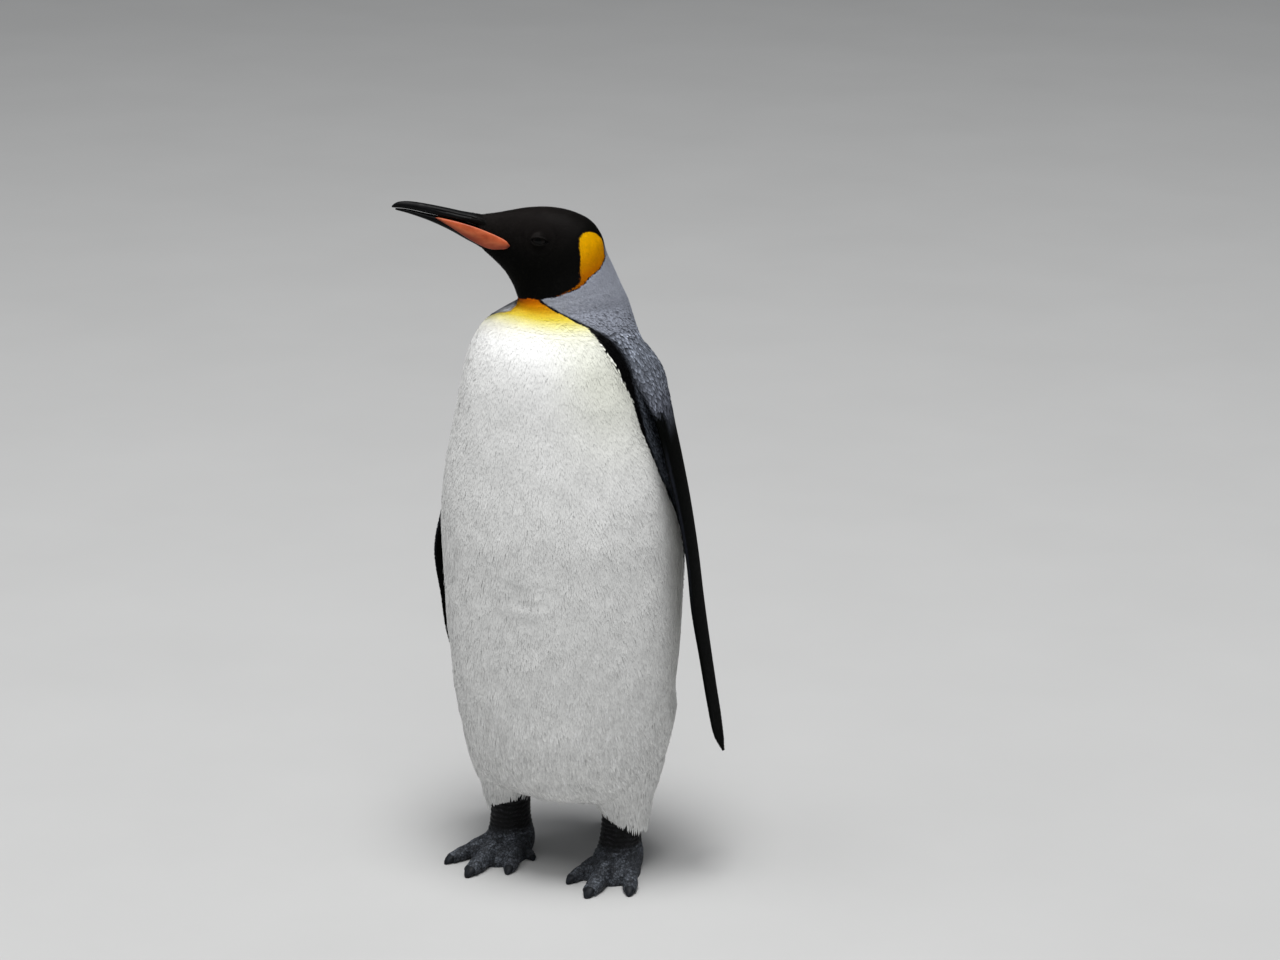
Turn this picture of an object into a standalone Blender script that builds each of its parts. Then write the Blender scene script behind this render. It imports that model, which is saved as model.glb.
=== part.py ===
"""King penguin, a still life-size model. It stands upright on both feet with its head turned to its right.

Metres, +Z up. The bird's front is -Y and its left side is +X. Stations are laid out about an upright axis
between the ankles, and the whole bird is then set with the middle of its outline over the origin.
"""

import math

import bmesh
import bpy
import numpy as np
from mathutils import Matrix, Vector

MM = 0.001
GAP = 0.3  # mm between neighbouring pieces
HEAD_YAW = 60.0  # degrees that the head is turned to the bird's right
SECTION_POWER = 2.12  # a little squarer than an ellipse

# The body from the root of the tail to the base of the bill, in mm and degrees. Each station is a plane
# section: the way it faces, its belly-side point and its back-side point as (forward, height), and its half width.
BODY = (
    (0, (-50, 89), (-84, 109), 25),
    (0, (-14, 85), (-92, 129), 57),
    (0, (24, 85), (-100, 151), 85),
    (0, (60, 93), (-107, 178), 103),
    (0, (89, 115), (-113, 209), 116),
    (0, (107, 155), (-118, 246), 125.5),
    (0, (119, 209), (-119.5, 284), 133.5),
    (0, (127.5, 277), (-118.5, 325), 139),
    (0, (133, 360), (-122, 375), 141),
    (0, (135.5, 430), (-121, 425), 140.5),
    (0, (132, 500), (-111, 480), 131.5),
    (0, (128, 552), (-101, 528), 118.5),
    (0, (124, 597), (-91, 570), 108),
    (0, (114, 630), (-81, 606), 99),
    (6, (95, 650), (-78, 634), 90),
    (20, (72, 661), (-78, 655), 75.5),
    (36, (58, 668), (-74, 673), 62.5),
    (50, (54, 673.5), (-66, 690), 55.5),
    (57, (53, 677), (-57, 710), 50.5),
    (HEAD_YAW, (54, 680), (-48, 730), 45),
    (HEAD_YAW, (55, 683), (-43, 748), 41),
    (HEAD_YAW, (56.5, 688), (-31, 765), 37),
    (HEAD_YAW, (59, 693.5), (-10, 776), 33),
    (HEAD_YAW, (62.5, 700), (14, 781), 29),
    (HEAD_YAW, (66.5, 706.5), (37, 781), 24.5),
    (HEAD_YAW, (73.5, 714.5), (56, 778.5), 20),
    (HEAD_YAW, (81.5, 722.5), (73, 775.5), 16.5),
    (HEAD_YAW, (88.5, 729), (86, 774), 13.4),
    (HEAD_YAW, (92.5, 733.5), (96, 772.5), 10.8),
)
NECK_FROM, NECK_TO = 14.0, 18.4  # places along BODY where the trunk ends and where the head begins
BODY_SIDES = 28
BODY_STEP = 0.7  # stations between two rings
BILL_SIDES = 12

# The bill along the head's own forward axis, in mm: forward, top, bottom, half width.
UPPER_BILL = (
    (80, 769, 753, 11),
    (100, 773.4, 761.8, 9),
    (115, 776.2, 765.2, 7.6),
    (128, 779.2, 768.2, 6.6),
    (150, 783.8, 773.2, 5.6),
    (170, 787, 777.8, 4.6),
    (182, 787, 779.6, 3.5),
    (188, 785.2, 779.9, 2.4),
    (192, 782, 780.2, 0.9),
)
LOWER_BILL = (
    (68, 744.5, 732, 12.4),
    (84, 754, 731.5, 12),
    (106, 762.6, 742, 9),
    (128, 767.9, 754.6, 6.7),
    (150, 772.6, 765, 5.2),
    (172, 777.6, 773, 3.8),
    (182, 779, 775.8, 2.6),
    (188, 779.4, 777.4, 1.4),
)
# The coloured plate on each side of the lower bill: forward, top, bottom, and how far out its face stands.
PLATE = (
    (60, 742.6, 739.4, 23.4),
    (64.5, 746.4, 737.2, 22.2),
    (71, 749.8, 736.2, 20.1),
    (82, 754, 735.6, 16.2),
    (96, 758.8, 740.4, 12.5),
    (110, 762.9, 748.2, 9.9),
    (124, 766.4, 757.4, 8.0),
    (136, 769, 764.6, 6.8),
    (143, 770.4, 768.4, 6.0),
)
PLATE_DEPTH = 4.4
EYE = (26.5, 748, 21.4)  # forward, height, out to the side
EYE_RADIUS = 10.2

# A flipper in mm: outward, forward, height of its middle, half chord, half thickness, and the turn of its
# leading edge outwards in degrees.
FLIPPER = {
    "left": (
        (72, 0, 641, 15, 7, 2),
        (92, -3, 622, 25, 10, 3),
        (106.5, -7, 600, 29.5, 11.5, 6),
        (115.5, -9, 577, 31, 10, 14),
        (124.5, -10, 550, 34, 8, 20),
        (135.5, -11, 506, 36.5, 7.3, 21),
        (147, -14, 452, 38, 6, 22),
        (155.5, -18, 395, 37.5, 5, 22),
        (159, -25, 335, 35, 4.8, 20),
        (164, -34, 275, 31, 4.3, 20),
        (168, -43, 222, 26, 3.6, 18),
        (171.5, -50, 183, 20.5, 2.8, 15),
        (174.5, -54, 163, 12.5, 2, 14),
        (177, -56, 150, 3.5, 1.1, 14),
    ),
    "right": (
        (72, 0, 641, 15, 7, 2),
        (92, -3, 622, 25, 10, 3),
        (106, -8, 600, 30, 11.5, 6),
        (115.5, -13, 577, 32, 10.5, 12),
        (124, -19, 550, 34.5, 8.5, 17),
        (134, -27, 506, 36.5, 7.5, 19),
        (143, -31, 456, 38, 6.2, 22),
        (151.5, -30, 404, 37.5, 5.2, 24),
        (161, -27, 355, 36.5, 4.8, 25),
        (163, -34, 300, 32, 4.4, 23),
        (167, -43, 248, 27, 3.8, 20),
        (166, -56, 206, 20.5, 3, 18),
        (164.5, -66, 174, 13, 2.1, 16),
        (164, -69, 160, 3.5, 1.1, 14),
    ),
}

# The feathered leg in mm: outward, forward of its foot, height, half width, half depth, and how much lower its
# outer edge lies than its middle.
LEG = (
    (60, -12, 192, 54, 66, 0),
    (67.5, -2, 146, 45.5, 51.5, 1),
    (73, 1, 116, 40, 41, 5),
    (74.5, 0, 96, 35, 35, 7),
    (76, -1, 79, 31.5, 31.5, 9),
    (76, -2, 68, 29.5, 29.5, 10),
)
# The scaly shank under it, and the foot's heel.
SHANK = (
    (72, -2, 98, 21, 22),
    (72, 0, 72, 21.5, 23),
    (72, 2, 48, 22, 25),
    (71.5, 3, 32, 23.5, 28),
    (71, 6, 19, 27, 33),
    (71, 8, 7, 27, 33),
    (71, 8, -4, 22, 27),
)
ANKLE = (71, 3)
STANCE = {"left": (-3, -7.5), "right": (0, 8)}  # how far outwards and forwards each leg stands of its place
FOOT_YAW = {"left": 9.0, "right": 0.0}  # degrees outwards
# Toes: name, degrees outwards from the foot's own axis, reach to the tip of the claw, half width, and how far
# outwards and forwards of the ankle its knuckle stands.
TOES = (
    ("outer", 28.0, 90, 9.6, (25, 24)),
    ("middle", -1.0, 102, 11, (1, 40)),
    ("inner", -28.0, 80, 9.2, (-24, 24)),
    ("hind", -66.0, 46, 6.5, (-22, 4)),
)
CLAW_LENGTH = {"outer": 17, "middle": 19, "inner": 16, "hind": 8}
WEB_REACH = 0.64  # of the toes' reach
WEB_HEIGHT = 8
INSTEP = (0, 22, 31, 38, 25)  # outward, forward, half width, half length, height

# The tail in mm: forward, height, half width, half thickness.
TAIL = (
    (-62, 104, 36, 17),
    (-76, 82, 34, 13),
    (-92, 58, 30.5, 8.5),
    (-110, 32, 25, 5),
    (-124, 12, 18, 3),
    (-131, 2.2, 12, 2.2),
)

COLOURS = {
    "coat": ((0.32, 0.34, 0.38), 0.7),
    "horn": ((0.02, 0.02, 0.024), 0.35),
    "plate": ((0.75, 0.20, 0.09), 0.3),
    "eye": ((0.02, 0.012, 0.008), 0.06),
    "foot": ((0.025, 0.027, 0.032), 0.6),
}


def smooth_rows(rows, step):
    """The rows of a table joined by one smooth curve and read every `step` rows, ends included."""
    table = np.array(rows, float)
    slope = np.gradient(table, axis=0)
    last = len(table) - 1
    places = np.linspace(0, last, max(2, round(last / step) + 1))
    return np.array([row_at(table, slope, place) for place in places])


def row_at(table, slope, place):
    """One row of a table at a fractional place, by cubic Hermite."""
    low = min(int(place), len(table) - 2)
    t = place - low
    return (
        table[low] * (2 * t**3 - 3 * t**2 + 1)
        + slope[low] * (t**3 - 2 * t**2 + t)
        + table[low + 1] * (3 * t**2 - 2 * t**3)
        + slope[low + 1] * (t**3 - t**2)
    )


def facing(yaw):
    """The way a station faces when it is turned `yaw` degrees to the bird's right, and the bird's left of it."""
    a = math.radians(yaw)
    return np.array((-math.sin(a), -math.cos(a), 0)), np.array((math.cos(a), -math.sin(a), 0))


def oval(centre, side, depth, sides, power=SECTION_POWER):
    """A closed ring of points about centre. side and depth are its half axes as vectors."""
    a = np.arange(sides) * math.tau / sides
    c, s = np.cos(a), np.sin(a)
    c = np.sign(c) * np.abs(c) ** (2 / power)
    s = np.sign(s) * np.abs(s) ** (2 / power)
    return centre + c[:, None] * side + s[:, None] * depth


def body_ring(row, swell=0.0, shift=0.0):
    """A section of the body in mm, made wider all round by swell and moved along the body by shift."""
    yaw, front_f, front_z, back_f, back_z, half = row
    ahead, left = facing(yaw)
    up = np.array((0, 0, 1))
    front = ahead * front_f + up * front_z
    back = ahead * back_f + up * back_z
    depth = (front - back) / 2
    along = np.cross(left, depth)
    along /= np.linalg.norm(along)
    depth *= 1 + swell / np.linalg.norm(depth)
    return oval((front + back) / 2 - along * shift, left * (half + swell), depth, BODY_SIDES)


def new_object(name, mesh, collection, material=None):
    obj = bpy.data.objects.new(name, mesh)
    collection.objects.link(obj)
    if material:
        mesh.materials.append(material)
    return obj


def loft(rings):
    """A closed mesh through rings of equal size, with a flat face at each end. The rings are in mm."""
    bm = bmesh.new()
    loops = [[bm.verts.new(p) for p in ring * MM] for ring in rings]
    for near, far in zip(loops, loops[1:]):
        for i in range(len(near)):
            j = (i + 1) % len(near)
            bm.faces.new((near[i], near[j], far[j], far[i]))
    bm.faces.new(loops[0])
    bm.faces.new(loops[-1])
    bmesh.ops.recalc_face_normals(bm, faces=bm.faces)
    bmesh.ops.triangulate(bm, faces=bm.faces)
    mesh = bpy.data.meshes.new("loft")
    bm.to_mesh(mesh)
    bm.free()
    return mesh


def flat_body():
    return [(yaw, *front, *back, half) for yaw, front, back, half in BODY]


def body_places(low, high):
    """Where the rings stand between two places, the same for a piece and for the whole body."""
    places = {low, high}
    ends = (0, NECK_FROM, NECK_TO, len(BODY) - 1)
    for start, stop in zip(ends, ends[1:]):
        places |= set(np.linspace(start, stop, round((stop - start) / BODY_STEP) + 1))
    return sorted(place for place in places if low <= place <= high)


def body_loft(low, high, swell=0.0):
    """The body between two places along BODY, drawn in by half a gap at an end that meets a neighbour."""
    table = np.array(flat_body(), float)
    slope = np.gradient(table, axis=0)
    last = len(BODY) - 1
    rings = []
    for place in body_places(low, high):
        shift = 0.0
        if place == low and low > 0:
            shift = GAP / 2
        if place == high and high < last:
            shift = -GAP / 2
        rings.append(body_ring(row_at(table, slope, place), swell, shift))
    return loft(rings)


def head_place(forward, height, out=0.0):
    """A point of the head in mm, from its own forward, height and leftward measures."""
    ahead, left = facing(HEAD_YAW)
    return ahead * forward + left * out + np.array((0, 0, height))


def bill_loft(rows, swell=0.0):
    _, left = facing(HEAD_YAW)
    rings = []
    for forward, top, bottom, half in smooth_rows(rows, 0.62):
        centre = head_place(forward, (top + bottom) / 2)
        depth = np.array((0, 0, (top - bottom) / 2 + swell))
        rings.append(oval(centre, left * (half + swell), depth, BILL_SIDES))
    return loft(rings)


def plate_loft(sign, swell=0.0):
    _, left = facing(HEAD_YAW)
    rings = []
    for forward, top, bottom, out in smooth_rows(PLATE, 1):
        centre = head_place(forward, (top + bottom) / 2, sign * (out - PLATE_DEPTH / 2))
        depth = np.array((0, 0, (top - bottom) / 2 + swell))
        rings.append(oval(centre, left * (PLATE_DEPTH / 2 + swell), depth, 10, 2.6))
    return loft(rings)


def standing(side, sign, out, forward, height):
    """A point of a leg or a foot in mm, where that leg stands."""
    more_out, more_forward = STANCE[side]
    return np.array((sign * (out + more_out), -forward - more_forward, height))


def leg_loft(side, sign, swell=0.0):
    rings = []
    for out, forward, height, half, deep, drop in smooth_rows(LEG, 0.6):
        centre = standing(side, sign, out, forward, height)
        wide = np.array((half + swell, 0, -sign * drop))
        rings.append(oval(centre, wide, np.array((0, deep + swell, 0)), 18))
    return loft(rings)


def shank_loft(side, sign, swell=0.0):
    rings = []
    for out, forward, height, half, deep in SHANK:
        centre = standing(side, sign, out, forward, height)
        wide = np.array((half + swell, 0, 0))
        rings.append(oval(centre, wide, np.array((0, deep + swell, 0)), 16))
    return loft(rings)


def flipper_loft(side, sign, swell=0.0):
    rows = smooth_rows(FLIPPER[side], 0.8)
    middles = rows[:, :3] * (sign, -1, 1)
    ways = np.gradient(middles, axis=0)
    rings = []
    for middle, way, (*_, chord, thick, turn) in zip(middles, ways, rows):
        a = math.radians(turn)
        way = way / np.linalg.norm(way)
        lead = np.array((sign * math.sin(a), -math.cos(a), 0))
        lead -= way * (lead @ way)
        lead /= np.linalg.norm(lead)
        out = np.cross(way, lead)
        rings.append(oval(middle, lead * (chord + swell), out * (thick + swell), 12, 2.0))
    return loft(rings)


def ankle_frame(side, sign):
    """The ankle on the floor, and the foot's own ways forward and outward."""
    a = math.radians(FOOT_YAW[side])
    ahead = np.array((sign * math.sin(a), -math.cos(a), 0))
    out = np.array((sign * math.cos(a), math.sin(a), 0))
    return standing(side, sign, *ANKLE, 0), ahead, out


def toe_path(side, sign, toe, places):
    """Points on the floor along a toe from the ankle, by its knuckle, to the tip of its claw."""
    _, angle, reach, _, knuckle = toe
    ankle, ahead, out = ankle_frame(side, sign)
    a = math.radians(angle)
    tip = (ahead * math.cos(a) + out * math.sin(a)) * reach
    bend = out * knuckle[0] + ahead * knuckle[1]
    t = np.asarray(places, float)[:, None]
    return ankle + bend * 2 * t * (1 - t) * 1.15 + tip * t**2


def toe_rings(path, wides, heights, lifts, sides):
    """Upright ovals across a path, each as wide, as tall and as high over the floor as given."""
    rings = []
    for point, way, wide, tall, lift in zip(path, np.gradient(path, axis=0), wides, heights, lifts):
        across = np.array((-way[1], way[0], 0)) / np.linalg.norm(way)
        rings.append(oval(point + (0, 0, lift), across * wide, np.array((0, 0, tall)), sides))
    return rings


def claw_share(toe):
    """The place along a toe's path where its claw begins."""
    return 1 - CLAW_LENGTH[toe[0]] / toe[2] * 0.62


def toe_loft(side, sign, toe):
    """A toe from inside the foot to the root of its claw, arched down to the floor."""
    half = toe[3]
    t = np.linspace(0, 1, 7)
    path = toe_path(side, sign, toe, t * (claw_share(toe) + 0.03))
    tall = half * (1.45 * (1 - t) ** 1.2 + 0.62)
    return loft(toe_rings(path, half * (1.12 - 0.3 * t), tall, tall * 0.84, 10))


def claw_loft(side, sign, toe):
    """A blunt claw, curved down to the floor, from the end of its toe."""
    half = toe[3]
    t = np.linspace(0, 1, 5)
    start = claw_share(toe) + 0.035
    path = toe_path(side, sign, toe, start + (1 - start) * t)
    size = np.sqrt(np.maximum(0.04, 1 - t**1.7))
    lift = half * 0.6 - (half * 0.6 - 1.2) * t**1.4
    return loft(toe_rings(path, half * 0.6 * size, half * 0.44 * size, lift, 8))


def web_loft(side, sign):
    """The webs as one low fan from the ankle, between the outer and the inner toe."""
    ankle, ahead, out = ankle_frame(side, sign)
    rings = []
    for angle in np.linspace(TOES[0][1], TOES[2][1], 7):
        a = math.radians(angle)
        run = ahead * math.cos(a) + out * math.sin(a)
        share = abs(angle) / TOES[0][1]
        reach = WEB_REACH * (TOES[1][2] * (1 - share) + TOES[0][2] * share)
        middle = ankle + run * (reach / 2) + np.array((0, 0, WEB_HEIGHT / 2 - 1))
        rings.append(oval(middle, run * (reach / 2), np.array((0, 0, WEB_HEIGHT / 2 + 1)), 8))
    return loft(rings)


def instep_loft(side, sign):
    """The broad hump between the shank and the toes."""
    ankle, ahead, side_way = ankle_frame(side, sign)
    out, forward, half, long, tall = INSTEP
    centre = ankle + side_way * out + ahead * forward
    rings = []
    for turn in np.linspace(math.radians(10), math.radians(170), 7):
        place = centre + ahead * (long * math.cos(turn))
        size = math.sin(turn) ** 0.8
        rings.append(oval(place, side_way * (half * size), np.array((0, 0, tall * size)), 14))
    return loft(rings)


def tail_loft(swell=0.0):
    rows = smooth_rows(TAIL, 0.8)
    middles = np.stack([np.zeros(len(rows)), -rows[:, 0], rows[:, 1]], axis=1)
    ways = np.gradient(middles, axis=0)
    side = np.array((1.0, 0, 0))
    rings = []
    for middle, way, (*_, half, thick) in zip(middles, ways, rows):
        flat = np.cross(way / np.linalg.norm(way), side)
        rings.append(oval(middle, side * (half + swell), flat * (thick + swell), 14))
    return loft(rings)


class Maker:
    """Keeps the parts in one collection and the cutters, which don't render, in another."""

    def __init__(self):
        for obj in list(bpy.data.objects):
            bpy.data.objects.remove(obj)
        scene = bpy.context.scene.collection
        self.parts = bpy.data.collections.new("king_penguin")
        self.cutters = bpy.data.collections.new("cutters")
        scene.children.link(self.parts)
        scene.children.link(self.cutters)
        self.materials = {name: self.material(name, *look) for name, look in COLOURS.items()}

    def material(self, name, colour, roughness):
        made = bpy.data.materials.new(name)
        made.use_nodes = True
        shader = made.node_tree.nodes["Principled BSDF"]
        shader.inputs["Base Color"].default_value = (*colour, 1)
        shader.inputs["Roughness"].default_value = roughness
        return made

    def part(self, name, mesh, material):
        return new_object(name, mesh, self.parts, self.materials[material])

    def tool(self, name, mesh):
        obj = new_object(name, mesh, self.cutters)
        obj.hide_render = True
        obj.display_type = "WIRE"
        return obj

    def apply(self, obj, operation, tools):
        """Cuts obj by each tool, or joins each to it, with exact Booleans."""
        for tool in tools:
            modifier = obj.modifiers.new(f"{operation.lower()}_{tool.name}", "BOOLEAN")
            modifier.operation = operation
            modifier.solver = "EXACT"
            modifier.object = tool


def make_body(maker):
    """Trunk, neck and head, parted by thin plane cuts."""
    last = len(BODY) - 1
    trunk = maker.part("trunk", body_loft(0, NECK_FROM), "coat")
    neck = maker.part("neck", body_loft(NECK_FROM, NECK_TO), "coat")
    head = maker.part("head", body_loft(NECK_TO, last), "coat")
    return trunk, neck, head


def make_face(maker, head):
    """Bill, its plates and the eyes, each let into the head."""
    upper = maker.part("bill_upper", bill_loft(UPPER_BILL), "horn")
    lower = maker.part("bill_lower", bill_loft(LOWER_BILL), "horn")
    upper_tool = maker.tool("upper_socket", bill_loft(UPPER_BILL, GAP))
    lower_tool = maker.tool("lower_socket", bill_loft(LOWER_BILL, GAP))
    maker.apply(lower, "DIFFERENCE", [upper_tool])
    maker.apply(head, "DIFFERENCE", [upper_tool, lower_tool])
    for side, sign in (("left", 1), ("right", -1)):
        plate = maker.part(f"bill_plate_{side}", plate_loft(sign), "plate")
        plate_tool = maker.tool(f"plate_socket_{side}", plate_loft(sign, GAP))
        maker.apply(plate, "DIFFERENCE", [upper_tool])
        maker.apply(lower, "DIFFERENCE", [plate_tool])
        forward, height, out = EYE
        place = Vector(head_place(forward, height, sign * out)) * MM
        eye = maker.part(f"eye_{side}", ball(EYE_RADIUS), "eye")
        eye.location = place
        socket = maker.tool(f"eye_socket_{side}", ball(EYE_RADIUS + GAP))
        socket.location = place
        maker.apply(head, "DIFFERENCE", [plate_tool, socket])


def ball(radius):
    bm = bmesh.new()
    bmesh.ops.create_uvsphere(bm, u_segments=14, v_segments=8, radius=radius * MM)
    bmesh.ops.triangulate(bm, faces=bm.faces)
    mesh = bpy.data.meshes.new("ball")
    bm.to_mesh(mesh)
    bm.free()
    return mesh


def make_limbs(maker):
    """Flippers, legs, feet with their claws, and the tail, each fitted against what it grows from."""
    body_tool = maker.tool("body_swollen", body_loft(0, len(BODY) - 1, GAP))
    floor = maker.tool("floor_slab", slab())
    for side, sign in (("left", 1), ("right", -1)):
        flipper = maker.part(f"flipper_{side}", flipper_loft(side, sign), "coat")
        maker.apply(flipper, "DIFFERENCE", [body_tool])
        leg = maker.part(f"leg_{side}", leg_loft(side, sign), "coat")
        shank_tool = maker.tool(f"shank_socket_{side}", shank_loft(side, sign, GAP))
        maker.apply(leg, "DIFFERENCE", [body_tool, shank_tool])
        foot = maker.part(f"foot_{side}", shank_loft(side, sign), "foot")
        joined = [
            maker.tool(f"instep_{side}", instep_loft(side, sign)),
            maker.tool(f"web_{side}", web_loft(side, sign)),
        ]
        for toe in TOES:
            joined.append(maker.tool(f"toe_{toe[0]}_{side}", toe_loft(side, sign, toe)))
            claw = maker.part(f"claw_{toe[0]}_{side}", claw_loft(side, sign, toe), "horn")
            maker.apply(claw, "DIFFERENCE", [floor])
        maker.apply(foot, "UNION", joined)
        maker.apply(foot, "DIFFERENCE", [floor, body_tool])
    tail = maker.part("tail", tail_loft(), "coat")
    maker.apply(tail, "DIFFERENCE", [body_tool, floor])


def slab():
    """All that lies under the floor, as a cutter."""
    bm = bmesh.new()
    bmesh.ops.create_cube(bm, size=1.0)
    bmesh.ops.translate(bm, verts=bm.verts, vec=(0, 0, -0.5))
    mesh = bpy.data.meshes.new("slab")
    bm.to_mesh(mesh)
    bm.free()
    return mesh


def centre_on_origin(collections):
    """Sets the middle of the bird's outline, seen from above, over the origin, with one empty as parent."""
    bpy.context.view_layer.update()
    graph = bpy.context.evaluated_depsgraph_get()
    corners = []
    for obj in collections[0].objects:
        shown = obj.evaluated_get(graph)
        mesh = shown.to_mesh()
        corners += [shown.matrix_world @ v.co for v in mesh.vertices]
        shown.to_mesh_clear()
    xs = [p.x for p in corners]
    ys = [p.y for p in corners]
    root = bpy.data.objects.new("bird", None)
    collections[0].objects.link(root)
    root.location = (-(min(xs) + max(xs)) / 2, -(min(ys) + max(ys)) / 2, 0)
    for collection in collections:
        for obj in list(collection.objects):
            if obj is not root:
                obj.parent = root
    print("axis between the ankles is at", [round(x, 5) for x in root.location])


def shade(objects):
    for obj in objects:
        if obj.type == "MESH":
            obj.data.shade_smooth()
            obj.data.set_sharp_from_angle(angle=math.radians(35))


def main():
    maker = Maker()
    _, _, head = make_body(maker)
    make_face(maker, head)
    make_limbs(maker)
    shade(maker.parts.objects)
    centre_on_origin((maker.parts, maker.cutters))


main()
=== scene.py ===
"""The looks of the king penguin: one skin, a coat of solid vanes, bill, plates, eyes and claws.

All shapes repeat the solids' own tables, in mm about the upright axis between the ankles, and are then moved
to where the frame has that axis. The bird's front is -Y, its left side is +X and its head is turned right.
"""

import math
from functools import cached_property

import bmesh
import bpy
import numpy as np
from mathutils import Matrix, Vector
from mathutils.bvhtree import BVHTree
from mathutils.kdtree import KDTree


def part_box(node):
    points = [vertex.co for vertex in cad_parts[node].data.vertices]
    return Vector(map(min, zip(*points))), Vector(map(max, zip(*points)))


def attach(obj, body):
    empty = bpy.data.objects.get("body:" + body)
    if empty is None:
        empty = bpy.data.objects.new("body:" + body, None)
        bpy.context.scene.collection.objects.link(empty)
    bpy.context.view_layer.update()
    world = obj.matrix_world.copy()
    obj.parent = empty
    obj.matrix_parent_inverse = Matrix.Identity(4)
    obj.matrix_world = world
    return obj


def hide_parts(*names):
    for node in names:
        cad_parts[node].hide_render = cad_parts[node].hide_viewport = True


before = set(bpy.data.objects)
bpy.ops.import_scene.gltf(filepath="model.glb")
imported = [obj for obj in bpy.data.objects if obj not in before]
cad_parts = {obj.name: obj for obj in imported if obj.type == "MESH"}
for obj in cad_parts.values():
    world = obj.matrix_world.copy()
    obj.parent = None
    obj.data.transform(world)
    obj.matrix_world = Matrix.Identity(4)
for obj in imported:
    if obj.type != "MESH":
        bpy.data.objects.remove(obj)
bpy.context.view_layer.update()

MM = 0.001
UP = np.array((0.0, 0.0, 1.0))
DRAWS = np.random.default_rng(11)
SIDES = {"left": 1, "right": -1}

# ---- the tables
HEAD_YAW = 60.0
SECTION_POWER = 2.12
# Rings of the body: turn to the right, front and back (each forward and height) and half width.
BODY = (
    (0, -50, 89, -84, 109, 25), (0, -14, 85, -92, 129, 57), (0, 24, 85, -100, 151, 85),
    (0, 60, 93, -107, 178, 103), (0, 89, 115, -113, 209, 116), (0, 107, 155, -118, 246, 125.5),
    (0, 119, 209, -119.5, 284, 133.5), (0, 127.5, 277, -118.5, 325, 139), (0, 133, 360, -122, 375, 141),
    (0, 135.5, 430, -121, 425, 140.5), (0, 132, 500, -111, 480, 131.5), (0, 128, 552, -101, 528, 118.5),
    (0, 124, 597, -91, 570, 108), (0, 114, 630, -81, 606, 99), (6, 95, 650, -78, 634, 90),
    (20, 72, 661, -78, 655, 75.5), (36, 58, 668, -74, 673, 62.5), (50, 54, 673.5, -66, 690, 55.5),
    (57, 53, 677, -57, 710, 50.5), (HEAD_YAW, 54, 680, -48, 730, 45), (HEAD_YAW, 55, 683, -43, 748, 41),
    (HEAD_YAW, 56.5, 688, -31, 765, 37), (HEAD_YAW, 59, 693.5, -10, 776, 33),
    (HEAD_YAW, 62.5, 700, 14, 781, 29), (HEAD_YAW, 66.5, 706.5, 37, 781, 24.5),
    (HEAD_YAW, 73.5, 714.5, 56, 778.5, 20), (HEAD_YAW, 81.5, 722.5, 73, 775.5, 16.5),
    (HEAD_YAW, 88.5, 729, 86, 774, 13.4), (HEAD_YAW, 92.5, 733.5, 96, 772.5, 10.8),
)  # fmt: skip
# Rings of the bill and its plates: forward, top, bottom and half width.
UPPER_BILL = (
    (80, 769, 753, 11), (100, 773.4, 761.8, 9), (115, 776.2, 765.2, 7.6), (128, 779.2, 768.2, 6.6),
    (150, 783.8, 773.2, 5.6), (170, 787, 777.8, 4.6), (182, 787, 779.6, 3.5), (188, 785.2, 779.9, 2.4),
    (192, 782, 780.2, 0.9),
)  # fmt: skip
LOWER_BILL = (
    (68, 744.5, 732, 12.4), (84, 754, 731.5, 12), (106, 762.6, 742, 9), (128, 767.9, 754.6, 6.7),
    (150, 772.6, 765, 5.2), (172, 777.6, 773, 3.8), (182, 779, 775.8, 2.6), (188, 779.4, 777.4, 1.4),
)  # fmt: skip
PLATE = (
    (60, 742.6, 739.4, 23.4), (64.5, 746.4, 737.2, 22.2), (71, 749.8, 736.2, 20.1), (82, 754, 735.6, 16.2),
    (96, 758.8, 740.4, 12.5), (110, 762.9, 748.2, 9.9), (124, 766.4, 757.4, 8.0), (136, 769, 764.6, 6.8),
    (143, 770.4, 768.4, 6.0),
)  # fmt: skip
PLATE_DEPTH = 4.4
EYE = (26.5, 748, 21.4)  # forward, height and out
EYE_RADIUS = 10.2
LID_WIDE, LID_TALL = 7.4, 2.4  # half axes of the opening between the lids
LID_BLEND = 0.8  # how softly the lids run into the face
LID_BASE = EYE_RADIUS + 0.8
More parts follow.
